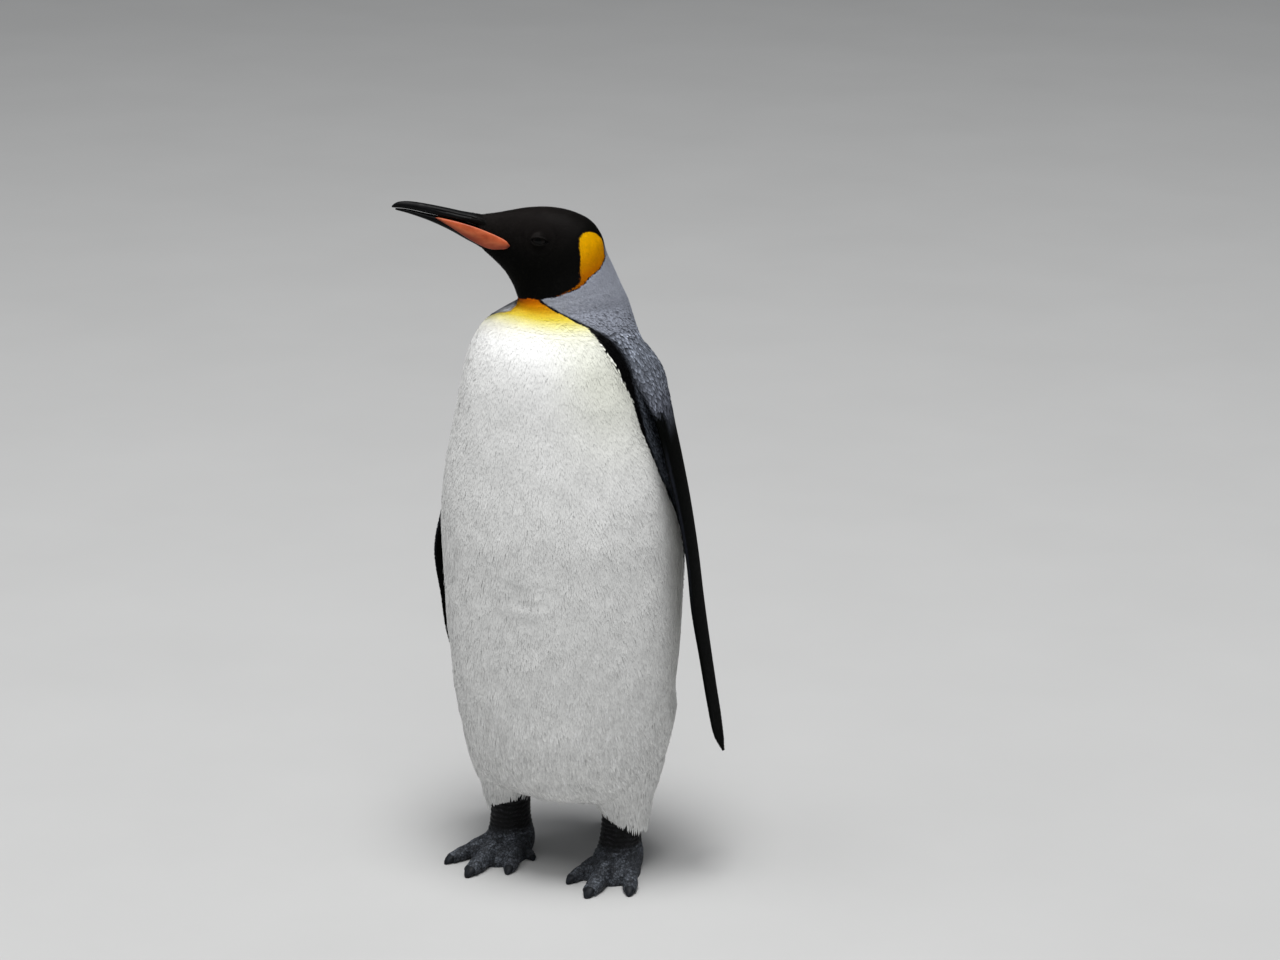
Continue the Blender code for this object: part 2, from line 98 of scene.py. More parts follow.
# Rings of the limbs: out, forward, height and two half widths, and for flippers and legs a slant.
FLIPPER = {
    "left": (
        (72, 0, 641, 15, 7, 2), (92, -3, 622, 25, 10, 3), (106.5, -7, 600, 29.5, 11.5, 6),
        (115.5, -9, 577, 31, 10, 14), (124.5, -10, 550, 34, 8, 20), (135.5, -11, 506, 36.5, 7.3, 21),
        (147, -14, 452, 38, 6, 22), (155.5, -18, 395, 37.5, 5, 22), (159, -25, 335, 35, 4.8, 20),
        (164, -34, 275, 31, 4.3, 20), (168, -43, 222, 26, 3.6, 18), (171.5, -50, 183, 20.5, 2.8, 15),
        (174.5, -54, 163, 12.5, 2, 14), (177, -56, 150, 3.5, 1.1, 14),
    ),
    "right": (
        (72, 0, 641, 15, 7, 2), (92, -3, 622, 25, 10, 3), (106, -8, 600, 30, 11.5, 6),
        (115.5, -13, 577, 32, 10.5, 12), (124, -19, 550, 34.5, 8.5, 17), (134, -27, 506, 36.5, 7.5, 19),
        (143, -31, 456, 38, 6.2, 22), (151.5, -30, 404, 37.5, 5.2, 24), (161, -27, 355, 36.5, 4.8, 25),
        (163, -34, 300, 32, 4.4, 23), (167, -43, 248, 27, 3.8, 20), (166, -56, 206, 20.5, 3, 18),
        (164.5, -66, 174, 13, 2.1, 16), (164, -69, 160, 3.5, 1.1, 14),
    ),
}  # fmt: skip
LEG = (
    (60, -12, 192, 54, 66, 0), (67.5, -2, 146, 45.5, 51.5, 1), (73, 1, 116, 40, 41, 5),
    (74.5, 0, 96, 35, 35, 7), (76, -1, 79, 31.5, 31.5, 9), (76, -2, 68, 29.5, 29.5, 10),
)  # fmt: skip
SHANK = (
    (72, -2, 98, 21, 22), (72, 0, 72, 21.5, 23), (72, 2, 48, 22, 25), (71.5, 3, 32, 23.5, 28),
    (71, 6, 19, 27, 33), (71, 8, 7, 27, 33), (71, 8, -4, 22, 27),
)  # fmt: skip
ANKLE = (71, 3)
STANCE = {"left": (-3, -7.5), "right": (0, 8)}
FOOT_YAW = {"left": 9.0, "right": 0.0}
# Rings of the tail: forward, height and two half widths.
TAIL = (
    (-62, 104, 36, 17), (-76, 82, 34, 13), (-92, 58, 30.5, 8.5), (-110, 32, 25, 5), (-124, 12, 18, 3),
    (-131, 2.2, 12, 2.2),
)  # fmt: skip
# Toes: angle, reach, half width, knuckle out and ahead, length of the claw.
TOES = {
    "outer": (28.0, 90, 9.6, 25, 24, 17),
    "middle": (-1.0, 102, 11, 1, 40, 19),
    "inner": (-28.0, 80, 9.2, -24, 24, 16),
    "hind": (-66.0, 46, 6.5, -22, 4, 8),
}
WEB_REACH = 0.64  # of the toes' reach
WEB_HEIGHT = 8
INSTEP = (0, 22, 31, 38, 25)  # out, forward, half width, half length and height
FOOT_VOXEL = 1.15
BEAD_GAP, BEAD_EDGE = 2.7, 1.3  # between the feet's scales, and the slope round each
SKIN_STEP, FACE_STEP, FACE_FROM = 0.22, 0.085, 17.6  # places from ring to ring, finer from the neck on
SKIN_COLUMNS = 138
LID_ZONE, FACE_ZONE = 13.5, 22  # how far from the eye the skin is split, and shaped
FLIPPER_ROOT = (535, 570)  # heights where the flipper's scales give way to the shoulder's plumage
BELLY_WAY = (0.866, 0.5)  # level, 30 degrees behind the bird's left, along the belly's folds


# ---- curves and noise
def read_rows(rows, places):
    """Rows of a table at fractional places, joined by one smooth curve."""
    table = np.array(rows, float)
    slope = np.gradient(table, axis=0)
    places = np.clip(np.asarray(places, float), 0, len(table) - 1)
    low = np.minimum(places.astype(int), len(table) - 2)
    t = (places - low)[:, None]
    return (
        table[low] * (2 * t**3 - 3 * t**2 + 1)
        + slope[low] * (t**3 - 2 * t**2 + t)
        + table[low + 1] * (3 * t**2 - 2 * t**3)
        + slope[low + 1] * (t**3 - t**2)
    )


def spread(rows, count):
    """The columns of `count` rows taken evenly along a table."""
    return read_rows(rows, np.linspace(0, len(rows) - 1, count)).T


def unit(v):
    return v / np.maximum(np.linalg.norm(v, axis=-1, keepdims=True), 1e-9)


def xyz(x, y, z):
    """Points or ways from three numbers or arrays."""
    return np.stack(np.broadcast_arrays(x, y, z), -1).astype(float)


def facing(yaw):
    """Ways ahead and to the bird's left for turns of `yaw` degrees to its right."""
    a = np.radians(yaw)
    return xyz(-np.sin(a), -np.cos(a), 0), xyz(np.cos(a), -np.sin(a), 0)


AHEAD, LEFT = facing(HEAD_YAW)  # the head's own ways


def squared(turns, power=SECTION_POWER):
    """Cosines and sines of a ring that is a little squarer than an ellipse."""
    return [np.sign(x) * np.abs(x) ** (2 / power) for x in (np.cos(turns), np.sin(turns))]


def ovals(centre, side, depth, turns, power=SECTION_POWER):
    """Rings of points, one for each row of centre, side and depth. turns are the angles round them."""
    c, s = squared(turns, power)
    return centre[:, None] + c[:, None] * side[:, None] + s[:, None] * depth[:, None]


def ring_turns(count):
    return np.arange(count) * math.tau / count


def lattice_noise(points, size, seed):
    """Smooth noise from -1 to 1 with features about `size` mm across."""
    cells = 64
    table = np.random.default_rng(seed).uniform(-1, 1, (cells, cells, cells))
    p = np.asarray(points, float) / size + 1000.0
    low = np.floor(p).astype(int)
    t = p - low
    t = t * t * (3 - 2 * t)
    total = np.zeros(p.shape[:-1])
    for corner in np.ndindex(2, 2, 2):
        share = np.prod(np.where(corner, t, 1 - t), axis=-1)
        total += share * table[tuple(np.moveaxis((low + corner) % cells, -1, 0))]
    return total


def cloud(points, size, seed):
    """Two octaves of noise, about -1 to 1."""
    return (lattice_noise(points, size, seed) + 0.5 * lattice_noise(points, size / 2.1, seed + 1)) / 1.1


def mottle(points, seed, size, amount):
    """A factor near 1 that varies softly over the coat."""
    return 1 + amount * cloud(points, size, seed)


def ease(x, low, high):
    """0 below low, 1 above high and smooth between them."""
    t = np.clip((x - low) / (high - low), 0, 1)
    return t * t * (3 - 2 * t)


def fall(x, low, high):
    """1 below low, 0 above high and smooth between them."""
    return 1 - ease(x, low, high)


def hill(x, middle, width):
    """1 at the middle, and near 0 beyond twice the width."""
    return np.exp(-(((x - middle) / width) ** 2))


def linear(r, g, b):
    """A colour named as on a screen, 0 to 255, in the linear values that shaders take."""
    c = np.array((r, g, b), float) / 255
    return np.where(c <= 0.04045, c / 12.92, ((c + 0.055) / 1.055) ** 2.4)


def shades(x, stops):
    """Colours from (x, screen colour) stops, for an array x."""
    colours = np.array([linear(*colour) for _, colour in stops])
    return np.stack([np.interp(x, [place for place, _ in stops], colours[:, k]) for k in range(3)], -1)


def mix(a, b, share):
    share = np.asarray(share)[..., None]
    return a * (1 - share) + b * share


def line(x, table):
    return np.interp(x, [row[0] for row in table], [row[1] for row in table])


# ---- sheets
class Sheet:
    """A tube-like surface as a grid of points in mm: rows along it, and columns round it, the last joined to
    the first.

    sign is 1 for a limb of the left side and -1 for one of the right.
    """

    def __init__(self, grid, sign=0):
        self.grid, self.sign = grid, sign
        self.rows, self.columns = grid.shape[:2]
        self.down = np.gradient(grid, axis=0)
        across = (np.roll(grid, -1, 1) - np.roll(grid, 1, 1)) / 2
        normal = unit(np.cross(across, self.down))
        middle = grid.mean(axis=1, keepdims=True)
        self.normal = -normal if np.mean(np.sum(normal * (grid - middle), -1)) < 0 else normal
        self.down_speed = np.linalg.norm(self.down, axis=-1, keepdims=True)
        self.round_speed = np.linalg.norm(across, axis=-1, keepdims=True)

    def read(self, field, u, v):
        """A field of the grid at row u and column v."""
        u = np.clip(u, 0, self.rows - 1.0001)
        low_u, low_v = u.astype(int), np.floor(v).astype(int)
        a, b = (u - low_u)[..., None], (v - low_v)[..., None]
        v0, v1 = low_v % self.columns, (low_v + 1) % self.columns
        near = field[low_u, v0] * (1 - b) + field[low_u, v1] * b
        far = field[low_u + 1, v0] * (1 - b) + field[low_u + 1, v1] * b
        return near * (1 - a) + far * a

    def point(self, u, v):
        """Points of the surface, carried straight on past its two ends."""
        over = u - np.clip(u, 0, self.rows - 1)
        return self.read(self.grid, u, v) + self.read(self.down, u, v) * over[..., None]

    def swollen(self, swell):
        return Sheet(self.grid + self.normal * swell[..., None], self.sign)

    @cached_property
    def closed(self):
        """(points, triangles) of the sheet closed by a fan at each end."""
        index = np.arange(self.rows * self.columns).reshape(self.rows, self.columns)
        turned = np.roll(index, -1, 1)
        first, last = np.full(self.columns, index.size), np.full(self.columns, index.size + 1)
        corners = [
            [index[:-1], turned[:-1], turned[1:]],
            [index[:-1], turned[1:], index[1:]],
            [first, turned[0], index[0]],
            [last, index[-1], turned[-1]],
        ]
        triangles = np.concatenate([np.stack(three, -1).reshape(-1, 3) for three in corners])
        points = np.concatenate([self.grid.reshape(-1, 3), [self.grid[0].mean(0), self.grid[-1].mean(0)]])
        corner = points[triangles] - points.mean(0)
        if np.sum(np.cross(corner[:, 0], corner[:, 1]) * corner[:, 2]) < 0:
            triangles = triangles[:, ::-1]
        return points, triangles

    @cached_property
    def tree(self):
        points, triangles = self.closed
        return BVHTree.FromPolygons(points.tolist(), triangles.tolist())


class Spots:
    """Places on a sheet at row u and column v, such as the roots of vanes."""

    def __init__(self, sheet, u, v):
        self.sheet, self.u, self.v, self.count = sheet, u, v, len(u)
        self.points = sheet.point(u, v)
        self.along = u / (sheet.rows - 1)
        self.turn = v / sheet.columns * math.tau
        self.s, self.angle = u * GRID_STEP, front_angle(self.turn)  # as the body's markings name them

    def where(self, pick):
        return Spots(self.sheet, self.u[pick], self.v[pick])

    def clear_of(self, others, depth=1.2):
        """The spots that aren't deeper than `depth` mm inside any of the other sheets."""
        return self.where(outside(others, self.points, depth))

    def jitter(self, amount=1.0):
        return DRAWS.normal(0, amount, self.count)

    def chance(self):
        return DRAWS.uniform(0, 1, self.count)


SEARCH = 60  # mm
GRAZING = -0.5


def outside(sheets, points, depth=1.2):
    """True where a point isn't deeper than `depth` mm inside any of the sheets.

    A nearest face seen at a grazing angle, as round a sheet's sharp end, says nothing about inside.
    """
    good = np.ones(len(points), bool)
    for sheet in sheets:
        for k in np.nonzero(good)[0]:
            found, normal, _, distance = sheet.tree.find_nearest(points[k], SEARCH)
            if found is not None and distance > depth:
                good[k] = (Vector(points[k]) - found).dot(normal) >= GRAZING * distance
    return good


def resampled(sheet, us, columns):
    """The sheet on a coarser grid, at the given rows."""
    u, v = np.meshgrid(us, np.arange(columns) * sheet.columns / columns, indexing="ij")
    return Sheet(sheet.read(sheet.grid, u, v))


def filleted(sheet, others, reach, weight=None):
    """The sheet swollen softly where it meets other sheets, as loose plumage bridges a crease."""
    points = sheet.grid.reshape(-1, 3)
    swell = np.zeros(len(points))
    for other in others:
        low, high = other.grid.min((0, 1)), other.grid.max((0, 1))
        for k in np.nonzero(np.all((points > low - reach) & (points < high + reach), axis=1))[0]:
            found = other.tree.find_nearest(points[k], reach)
            if found[0] is not None:
                swell[k] = max(swell[k], (reach - found[3]) ** 2 / (4 * reach))
    if weight is not None:
        swell = swell * weight(points)
    return sheet.swollen(swell.reshape(sheet.rows, sheet.columns))


SHAKE = 0.35  # of a spot's room, either way


def spots_over(sheet, along, across, u_from, u_to):
    """Spots in staggered rows, `across` mm apart in rows at most `along` mm apart."""
    speed = np.quantile(sheet.down_speed[..., 0], 0.96, axis=1)
    length = np.concatenate([[0], np.cumsum((speed[1:] + speed[:-1]) / 2)])
    start, stop = np.interp([u_from, u_to], np.arange(sheet.rows), length)
    us, vs, keep = [], [], []
    for k, u in enumerate(np.interp(np.arange(start, stop, along), length, np.arange(sheet.rows))):
        steps = sheet.read(sheet.round_speed, np.full(sheet.columns, u), np.arange(sheet.columns) + 0.5)[:, 0]
        arc = np.concatenate([[0], np.cumsum(steps)])
        count = max(3, int(arc[-1] / across))
        at = (np.arange(count) + 0.5 * (k % 2) + DRAWS.uniform(-SHAKE, SHAKE, count)) * arc[-1] / count
        v = np.interp(at % arc[-1], arc, np.arange(sheet.columns + 1))
        here = sheet.read(sheet.down_speed, np.full(count, u), v)[:, 0]
        level = np.interp(u, np.arange(sheet.rows), speed)
        keep.append(DRAWS.uniform(0, 1, count) < here / level + 0.02)
        us.append(u + DRAWS.uniform(-SHAKE, SHAKE, count) * along / level)
        vs.append(v)
    return Spots(sheet, np.concatenate(us), np.concatenate(vs)).where(np.concatenate(keep))


# ---- the bird's sheets
GRID_STEP = 0.05  # places along BODY from one row of the body's grid to the next
LAST = len(BODY) - 1


def front_angle(turns):
    """Degrees from the middle of the belly, 0 to 180, the same on both sides."""
    return np.abs((np.degrees(turns) + 90) % 360 - 180)


def body_sheet():
    places = np.arange(0, LAST + 1e-6, GRID_STEP)
    yaw, *numbers = read_rows(BODY, places).T
    ahead, left = facing(yaw)
    front_out, front_up, back_out, back_up, half = (column[:, None] for column in numbers)
    front, back = ahead * front_out + UP * front_up, ahead * back_out + UP * back_up
    depth = (front - back) / 2
    s = places[:, None]
    swell = -1.5 - fall(s, 16, 18.6)  # the skin lies inside the coat's outline
    depth = depth * (1 + swell / np.linalg.norm(depth, axis=1, keepdims=True))
    turns = ring_turns(240)
    sheet = Sheet(ovals((front + back) / 2, left * (half + swell), depth, turns))
    # Soft dents and swellings under the breast and belly, which a standing bird's loose coat shows.
    points = sheet.grid
    rolls = 0.75 * cloud(points * (1, 1, 0.62), 17, 21) + 0.9 * lattice_noise(points * (1, 1, 0.5), 34, 25)
    rolls = rolls * (1 + 1.8 * fall(s, 4, 7.5))
    # One fuller lap of loose plumage on the belly, with a crease under it.
    aside = points[..., 0] * BELLY_WAY[0] + points[..., 1] * BELLY_WAY[1]
    height = points[..., 2]
    rolls = rolls + 4.0 * hill(aside, -22, 34) * hill(height, 172, 30)
    rolls = rolls - 2.6 * hill(aside, -8, 42) * hill(height, 128, 9)
    # Small ruffles where the belly's coat is pushed up.
    ruffled = hill(aside, -50, 42) * hill(height, 335, 62)
    rolls = rolls + 1.1 * ruffled * cloud(points * (0.7, 0.7, 1.7), 13, 29)
    return sheet.swollen(rolls * fall(front_angle(turns), 70, 100) * ease(s, 1, 3.5) * fall(s, 12.5, 15.5))


def head_place(forward, height, out):
    return AHEAD * forward + LEFT * out + UP * height


def bill_rings(rows, count):
    """Rings of the bill as columns: forward, middle, half height and half width."""
    forward, top, bottom, half = spread(rows, count)[..., None]
    return forward, AHEAD * forward + UP * (top + bottom) / 2, (top - bottom) / 2, half


def flipper_sheet(side):
    sign, swell = SIDES[side], -0.7
    out, forward, height, wide, deep, slant = spread(FLIPPER[side], 150)
    middles = xyz(sign * out, -forward, height)
    ways = unit(np.gradient(middles, axis=0))
    a = np.radians(slant)
    lead = xyz(sign * np.sin(a), -np.cos(a), 0)
    lead = unit(lead - ways * np.sum(lead * ways, -1, keepdims=True))
    deep = np.maximum(deep[:, None] + swell, 0.7)
    grid = ovals(middles, lead * (wide[:, None] + swell), np.cross(ways, lead) * deep, ring_turns(64), 2.0)
    return Sheet(grid, sign)


def standing(side, out, forward, height):
    """Points of a leg or foot where that leg stands."""
    more_out, more_forward = STANCE[side]
    return xyz(SIDES[side] * (out + more_out), -forward - more_forward, height)


def leg_sheet(side):
    sign, swell = SIDES[side], -3.0
    out, forward, height, wide, deep, slant = spread(LEG, 60)
    wide, deep = xyz(wide + swell, 0, -sign * slant), xyz(0, deep + swell, 0)
    return Sheet(ovals(standing(side, out, forward, height), wide, deep, ring_turns(72)), sign)


def tail_sheet():
    swell = -1.2
    forward, height, wide, deep = spread(TAIL, 40)
    middles = xyz(0, -forward, height)
    through = np.cross(unit(np.gradient(middles, axis=0)), (1.0, 0, 0))
    return Sheet(ovals(middles, xyz(wide + swell, 0, 0), through * (deep[:, None] + swell), ring_turns(48)))


# ---- the markings
# Lines on the body by its places (0 at the tail's root, 28 at the bill) and degrees from the belly's middle.
WHITE_EDGE = (
    (0.5, 132), (2, 128), (4, 126), (6, 124), (7.4, 120), (8.2, 112), (8.7, 105), (9, 102), (9.3, 98),
    (9.6, 94), (10, 90), (10.5, 87), (11, 84), (11.5, 83), (11.9, 82), (12.3, 79), (12.5, 76), (12.8, 74),
    (13.2, 70.5), (13.5, 68), (14, 66.5), (14.7, 68.5), (15, 69), (15.3, 66), (15.8, 63), (16.3, 60),
    (16.9, 59), (17.6, 55), (18.1, 54),
)  # fmt: skip
BAND_EDGE = (
    (2, 129), (4, 127), (6, 125), (7.4, 121.5), (8.2, 114), (9, 104), (10, 91), (10.4, 89), (10.8, 88),
    (11.3, 88), (11.8, 87), (12.4, 85.5), (13.15, 82), (14.1, 77), (14.6, 75.5), (15.3, 70), (15.8, 67),
    (16.3, 64), (16.9, 62.5), (17.6, 59), (18.1, 58.5),
)  # fmt: skip
HOOD_EDGE = (
    (0, 18.45), (43, 18.45), (54, 18.05), (70, 18.0), (76, 17.9), (86, 17.98), (93, 18.03), (105, 18.08),
    (111, 18.18), (120, 18.37), (130, 18.47), (141, 18.53), (152, 18.7), (164, 18.85), (172, 19.3),
    (180, 19.6),
)  # fmt: skip
PATCH_LOW = (
    (76, 17.95), (86, 18.05), (93, 18.1), (99, 18.1), (105, 18.15), (111, 18.25), (120, 18.45),
    (130, 18.55), (141, 18.6), (152, 18.8), (162, 18.95), (171, 19.5),
)  # fmt: skip
PATCH_HIGH = (
    (76, 17.97), (94, 18.16), (102, 18.28), (108, 18.42), (112, 18.65), (117, 19.45), (120, 20.1),
    (126, 20.65), (132, 20.9), (141, 20.95), (152, 20.75), (161, 20.45), (168, 20.05), (171, 19.6),
)  # fmt: skip
THROAT = (
    (13.6, (253, 253, 251)), (14.1, (252, 251, 243)), (14.5, (250, 248, 225)), (15.0, (244, 236, 165)),
    (15.55, (236, 212, 74)), (16.2, (238, 188, 36)), (16.9, (242, 162, 6)), (17.5, (240, 138, 0)),
    (18.3, (218, 104, 0)),
)  # fmt: skip
BACK = (
    (0, (40, 43, 49)), (2, (52, 56, 63)), (5, (66, 71, 79)), (9, (78, 83, 92)), (11.6, (86, 91, 100)),
    (12.6, (102, 107, 117)), (13.4, (107, 112, 122)), (14.6, (115, 119, 129)), (16, (137, 141, 152)),
    (17.2, (166, 170, 182)), (18.8, (162, 166, 178)), (19.6, (112, 116, 126)), (20.2, (60, 62, 68)),
)  # fmt: skip
SHOULDER = (
    (530, (34, 36, 40)), (550, (62, 65, 72)), (572, (92, 95, 105)), (590, (104, 108, 118)),
    (620, (108, 113, 123)), (640, (110, 115, 125)),
)  # fmt: skip
PATCH = ((18.0, (160, 84, 0)), (18.7, (184, 106, 0)), (19.4, (226, 150, 0)), (20.8, (250, 184, 0)))
BLACK = linear(8, 8, 9)
HOOD = linear(8, 8, 7)
# The upper head: partly the hood's own brown, partly a painted sheen.
HOOD_BROWN_AND_SHEEN = linear(27, 24, 23)


def body_colour(at, edge):
    """The coat's colour at spots of the body. edge is a small noise that ruffles the borders."""
    s, angle = at.s, at.angle
    left = np.where(np.cos(at.turn) > 0, angle, -angle)
    # The head is turned, which draws the white and orange of the throat round to the bird's left.
    drawn = 25 * ease(s, 13.9, 15.6)
    across = np.abs(left - drawn)
    out = line(s, WHITE_EDGE) - drawn
    band = line(s, BAND_EDGE) - drawn + edge * 0.4
    share = np.clip(across / out, 0, 1)
    white = shades(s + (0.6 - 0.65 * ease(left, 15, 50)) * share**4 * ease(s, 11.8, 14.2), THROAT)
    # Painted shade: the white is painted darker down the belly and most near its bottom, where less light
    # reaches it.
    white = white * (1 - 0.09 * fall(s, 8.5, 12) - 0.19 * fall(s, 1.8, 7))[..., None]
    stained = ease(left / out, 0.2, 0.75) * ease(s, 9.5, 12.5)
    white = white * (1 - stained[..., None] * np.array((0.06, 0.05, 0.14)))
    # Behind the black band the grey comes up over a few millimetres, and at once on the neck.
    rise = 1.6 + 8.0 * fall(s, 13.8, 14.9) * ease(s, 11.6, 12.8)
    # On the bird's right the band thins out early.
    right = ease(-left, 0, 5)
    thin = 0.65 * right * ease(s, 13.9, 14.5)
    # Painted light: beside the throat the neck's own silver is painted near white, as that side is brightly
    # lit.
    pale = right * ease(s, 14.5, 15.3) * fall(across, band + 8, band + 30)
    grey = mix(shades(s, BACK), linear(226, 227, 230), 0.85 * pale)
    grey = mix(BLACK, grey, np.maximum(ease(across, band - 1.0, band + rise) ** 0.8, thin))
    out = out + edge
    colour = mix(white, grey, ease(across, out - 0.35, out + 0.35))
    hood_line = line(angle, HOOD_EDGE) + edge * 0.012
    soft = 0.02 + 0.5 * ease(angle, 163, 174)
    # The upper head is lighter and browner: partly the hood's own brown, partly a painted sheen where it
    # catches the light.
    hood = mix(HOOD, HOOD_BROWN_AND_SHEEN, ease(s, 20.0, 23.5) * ease(angle, 60, 130))
    colour = mix(colour, hood, ease(s, hood_line - soft, hood_line + soft))
    low, high = line(angle, PATCH_LOW), line(angle, PATCH_HIGH)
    inside = ease(s, low - 0.02, low + 0.02) * fall(s, high - 0.03, high + 0.03)
    return mix(colour, shades(s, PATCH), inside * ease(angle, 76, 79) * fall(angle, 169, 171))


def leg_colour(at):
    """White in front and outside, dark grey behind, and greyer towards the hem inside."""
    back = np.sin(at.turn)  # 1 behind, -1 in front
    inner = -at.sheet.sign * np.cos(at.turn)
    share = ease(back, 0.35, 0.75) * ease(at.along + 0.06 * cloud(at.points, 12, 63), 0.4, 0.75)
    share = np.maximum(share, 0.62 * ease(inner, 0.35, 0.95) * ease(at.along, 0.72, 1.0))
    return mix(linear(238, 238, 236), linear(58, 61, 68), share)


def flipper_colour(at):
    """Black outside; white inside with a black edge and tip; grey where it leaves the shoulder."""
    sheet, height = at.sheet, at.points[:, 2]
    quarter = sheet.normal[sheet.rows // 2, sheet.columns // 4, 0] * sheet.sign
    lead, out = np.cos(at.turn), np.sin(at.turn) * np.sign(quarter)
    # Painted highlight: a lighter bluish line down the flipper's narrow edges.
    edge_highlight = ease(np.abs(lead), 0.93, 0.99) * fall(height, 500, 540) * ease(height, 300, 420)
    black = mix(linear(7, 8, 7), linear(30, 32, 38), edge_highlight)
    rim = np.maximum(ease(lead, 0.35, 0.5), ease(-lead, 0.8, 0.9))
    rim = np.maximum(rim, np.maximum(ease(at.along, 0.80, 0.86), fall(at.along, 0.22, 0.3)))
    colour = mix(mix(linear(222, 222, 218), black, rim), black, ease(out, -0.28, -0.12))
    share = ease(height + 7 * cloud(at.points, 10, 77), 526, 572)
    crease = ease(lead, 0.45, 0.75) * fall(height, 560, 578)
    return mix(colour, shades(height, SHOULDER), share * (1 - crease))


def tail_colour(at):
    return np.tile(linear(24, 25, 28), (at.count, 1))


def shank_folds(points):
    """The height of the wrinkles round the shank, -1 to 1."""
    height = points[:, 2]
    warp = 3.0 * cloud(points * (1, 1, 0.4), 16, 41) + 1.2 * cloud(points, 6, 43)
    return np.sin((height + warp) * math.tau / 5.4) * ease(height, 17, 27) * fall(height, 70, 96)


def foot_colour(points):
    height = points[:, 2]
    colour = mix(linear(54, 57, 62), linear(7, 7, 8), ease(height, 24, 38))
    # The crests of the shank's wrinkles are lighter: partly pale dust on them, partly a painted highlight.
    crest = 0.6 + 2.6 * ease(height, 26, 40)
    shade = (1 + crest * ease(shank_folds(points), 0.45, 0.98)) * mottle(points, 61, 14, 0.2)
    return colour * shade[:, None]


# ---- meshes
low_corner, high_corner = (np.array(c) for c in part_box("eye_left"))
AXIS = (low_corner + high_corner) / 2 - head_place(*EYE) * MM  # the frame's place of the upright axis


def placed(points):
    return np.asarray(points, float) * MM + AXIS


def gathered(items, key, width=3, kind=np.float32):
    """One property of all the vertices, edges or faces of a mesh."""
    values = np.empty(len(items) * width, kind)
    items.foreach_get(key, values)
    return values.reshape(-1, width) if width > 1 else values


def flat(values, kind=np.float32):
    return np.ascontiguousarray(values, kind).ravel()


def points_of(mesh):
    return (gathered(mesh.vertices, "co").astype(float) - AXIS) / MM


def move(mesh, points):
    mesh.vertices.foreach_set("co", flat(placed(points)))
    mesh.update()


def link(name, mesh, materials=()):
    obj = bpy.data.objects.new(name, mesh)
    bpy.context.scene.collection.objects.link(obj)
    for look in materials:
        mesh.materials.append(look)
    return obj


def raw_mesh(name, points, triangles):
    """A mesh from points in mm and rows of indices."""
    mesh = bpy.data.meshes.new(name)
    mesh.vertices.add(len(points))
    mesh.vertices.foreach_set("co", flat(placed(points)))
    mesh.loops.add(triangles.size)
    mesh.loops.foreach_set("vertex_index", flat(triangles, np.int32))
    mesh.polygons.add(len(triangles))
    mesh.polygons.foreach_set("loop_start", np.arange(len(triangles), dtype=np.int32) * 3)
    mesh.update(calc_edges=True)
    mesh.polygons.foreach_set("use_smooth", np.ones(len(triangles), bool))
    return mesh


def paint(mesh, colours):
    layer = mesh.color_attributes.new("markings", "FLOAT_COLOR", "POINT")
    full = np.ones((len(mesh.vertices), 4))
    full[:, :3] = np.clip(colours, 0, 1)
    layer.data.foreach_set("color", flat(full))


def sheet_object(name, sheet):
    return link(name, raw_mesh(name, *sheet.closed))


def baked(obj):
    """The object with its modifiers applied."""
    graph = bpy.context.evaluated_depsgraph_get()
    mesh = bpy.data.meshes.new_from_object(obj.evaluated_get(graph))
    obj.modifiers.clear()
    obj.data = mesh
    return obj


def fused(sheets, name):
    """Sheets fused into one new mesh by a voxel remesh."""
    bm = bmesh.new()
    for sheet in sheets:
        bm.from_mesh(raw_mesh("part", *sheet.closed))
    mesh = bpy.data.meshes.new(name)
    bm.to_mesh(mesh)
    bm.free()
    obj = link(name, mesh)
    modifier = obj.modifiers.new("fuse", "REMESH")
    modifier.mode = "VOXEL"
    modifier.voxel_size = FOOT_VOXEL * MM
    return baked(obj)


def smoothed(mesh, times):
    """Vertices eased half way to the middle of their neighbours, a few times."""
    a, b = gathered(mesh.edges, "vertices", 2, np.int32).T
    points = points_of(mesh)
    size = len(points)
    count = np.maximum(np.bincount(a, minlength=size) + np.bincount(b, minlength=size), 1)[:, None]
    for _ in range(times):
        total = [np.bincount(a, column[b], size) + np.bincount(b, column[a], size) for column in points.T]
        points = points + (np.stack(total, -1) / count - points) / 2
    move(mesh, points)


def kd_tree(points):
    tree = KDTree(len(points))
    for k, point in enumerate(points):
        tree.insert(point, k)
    tree.balance()
    return tree


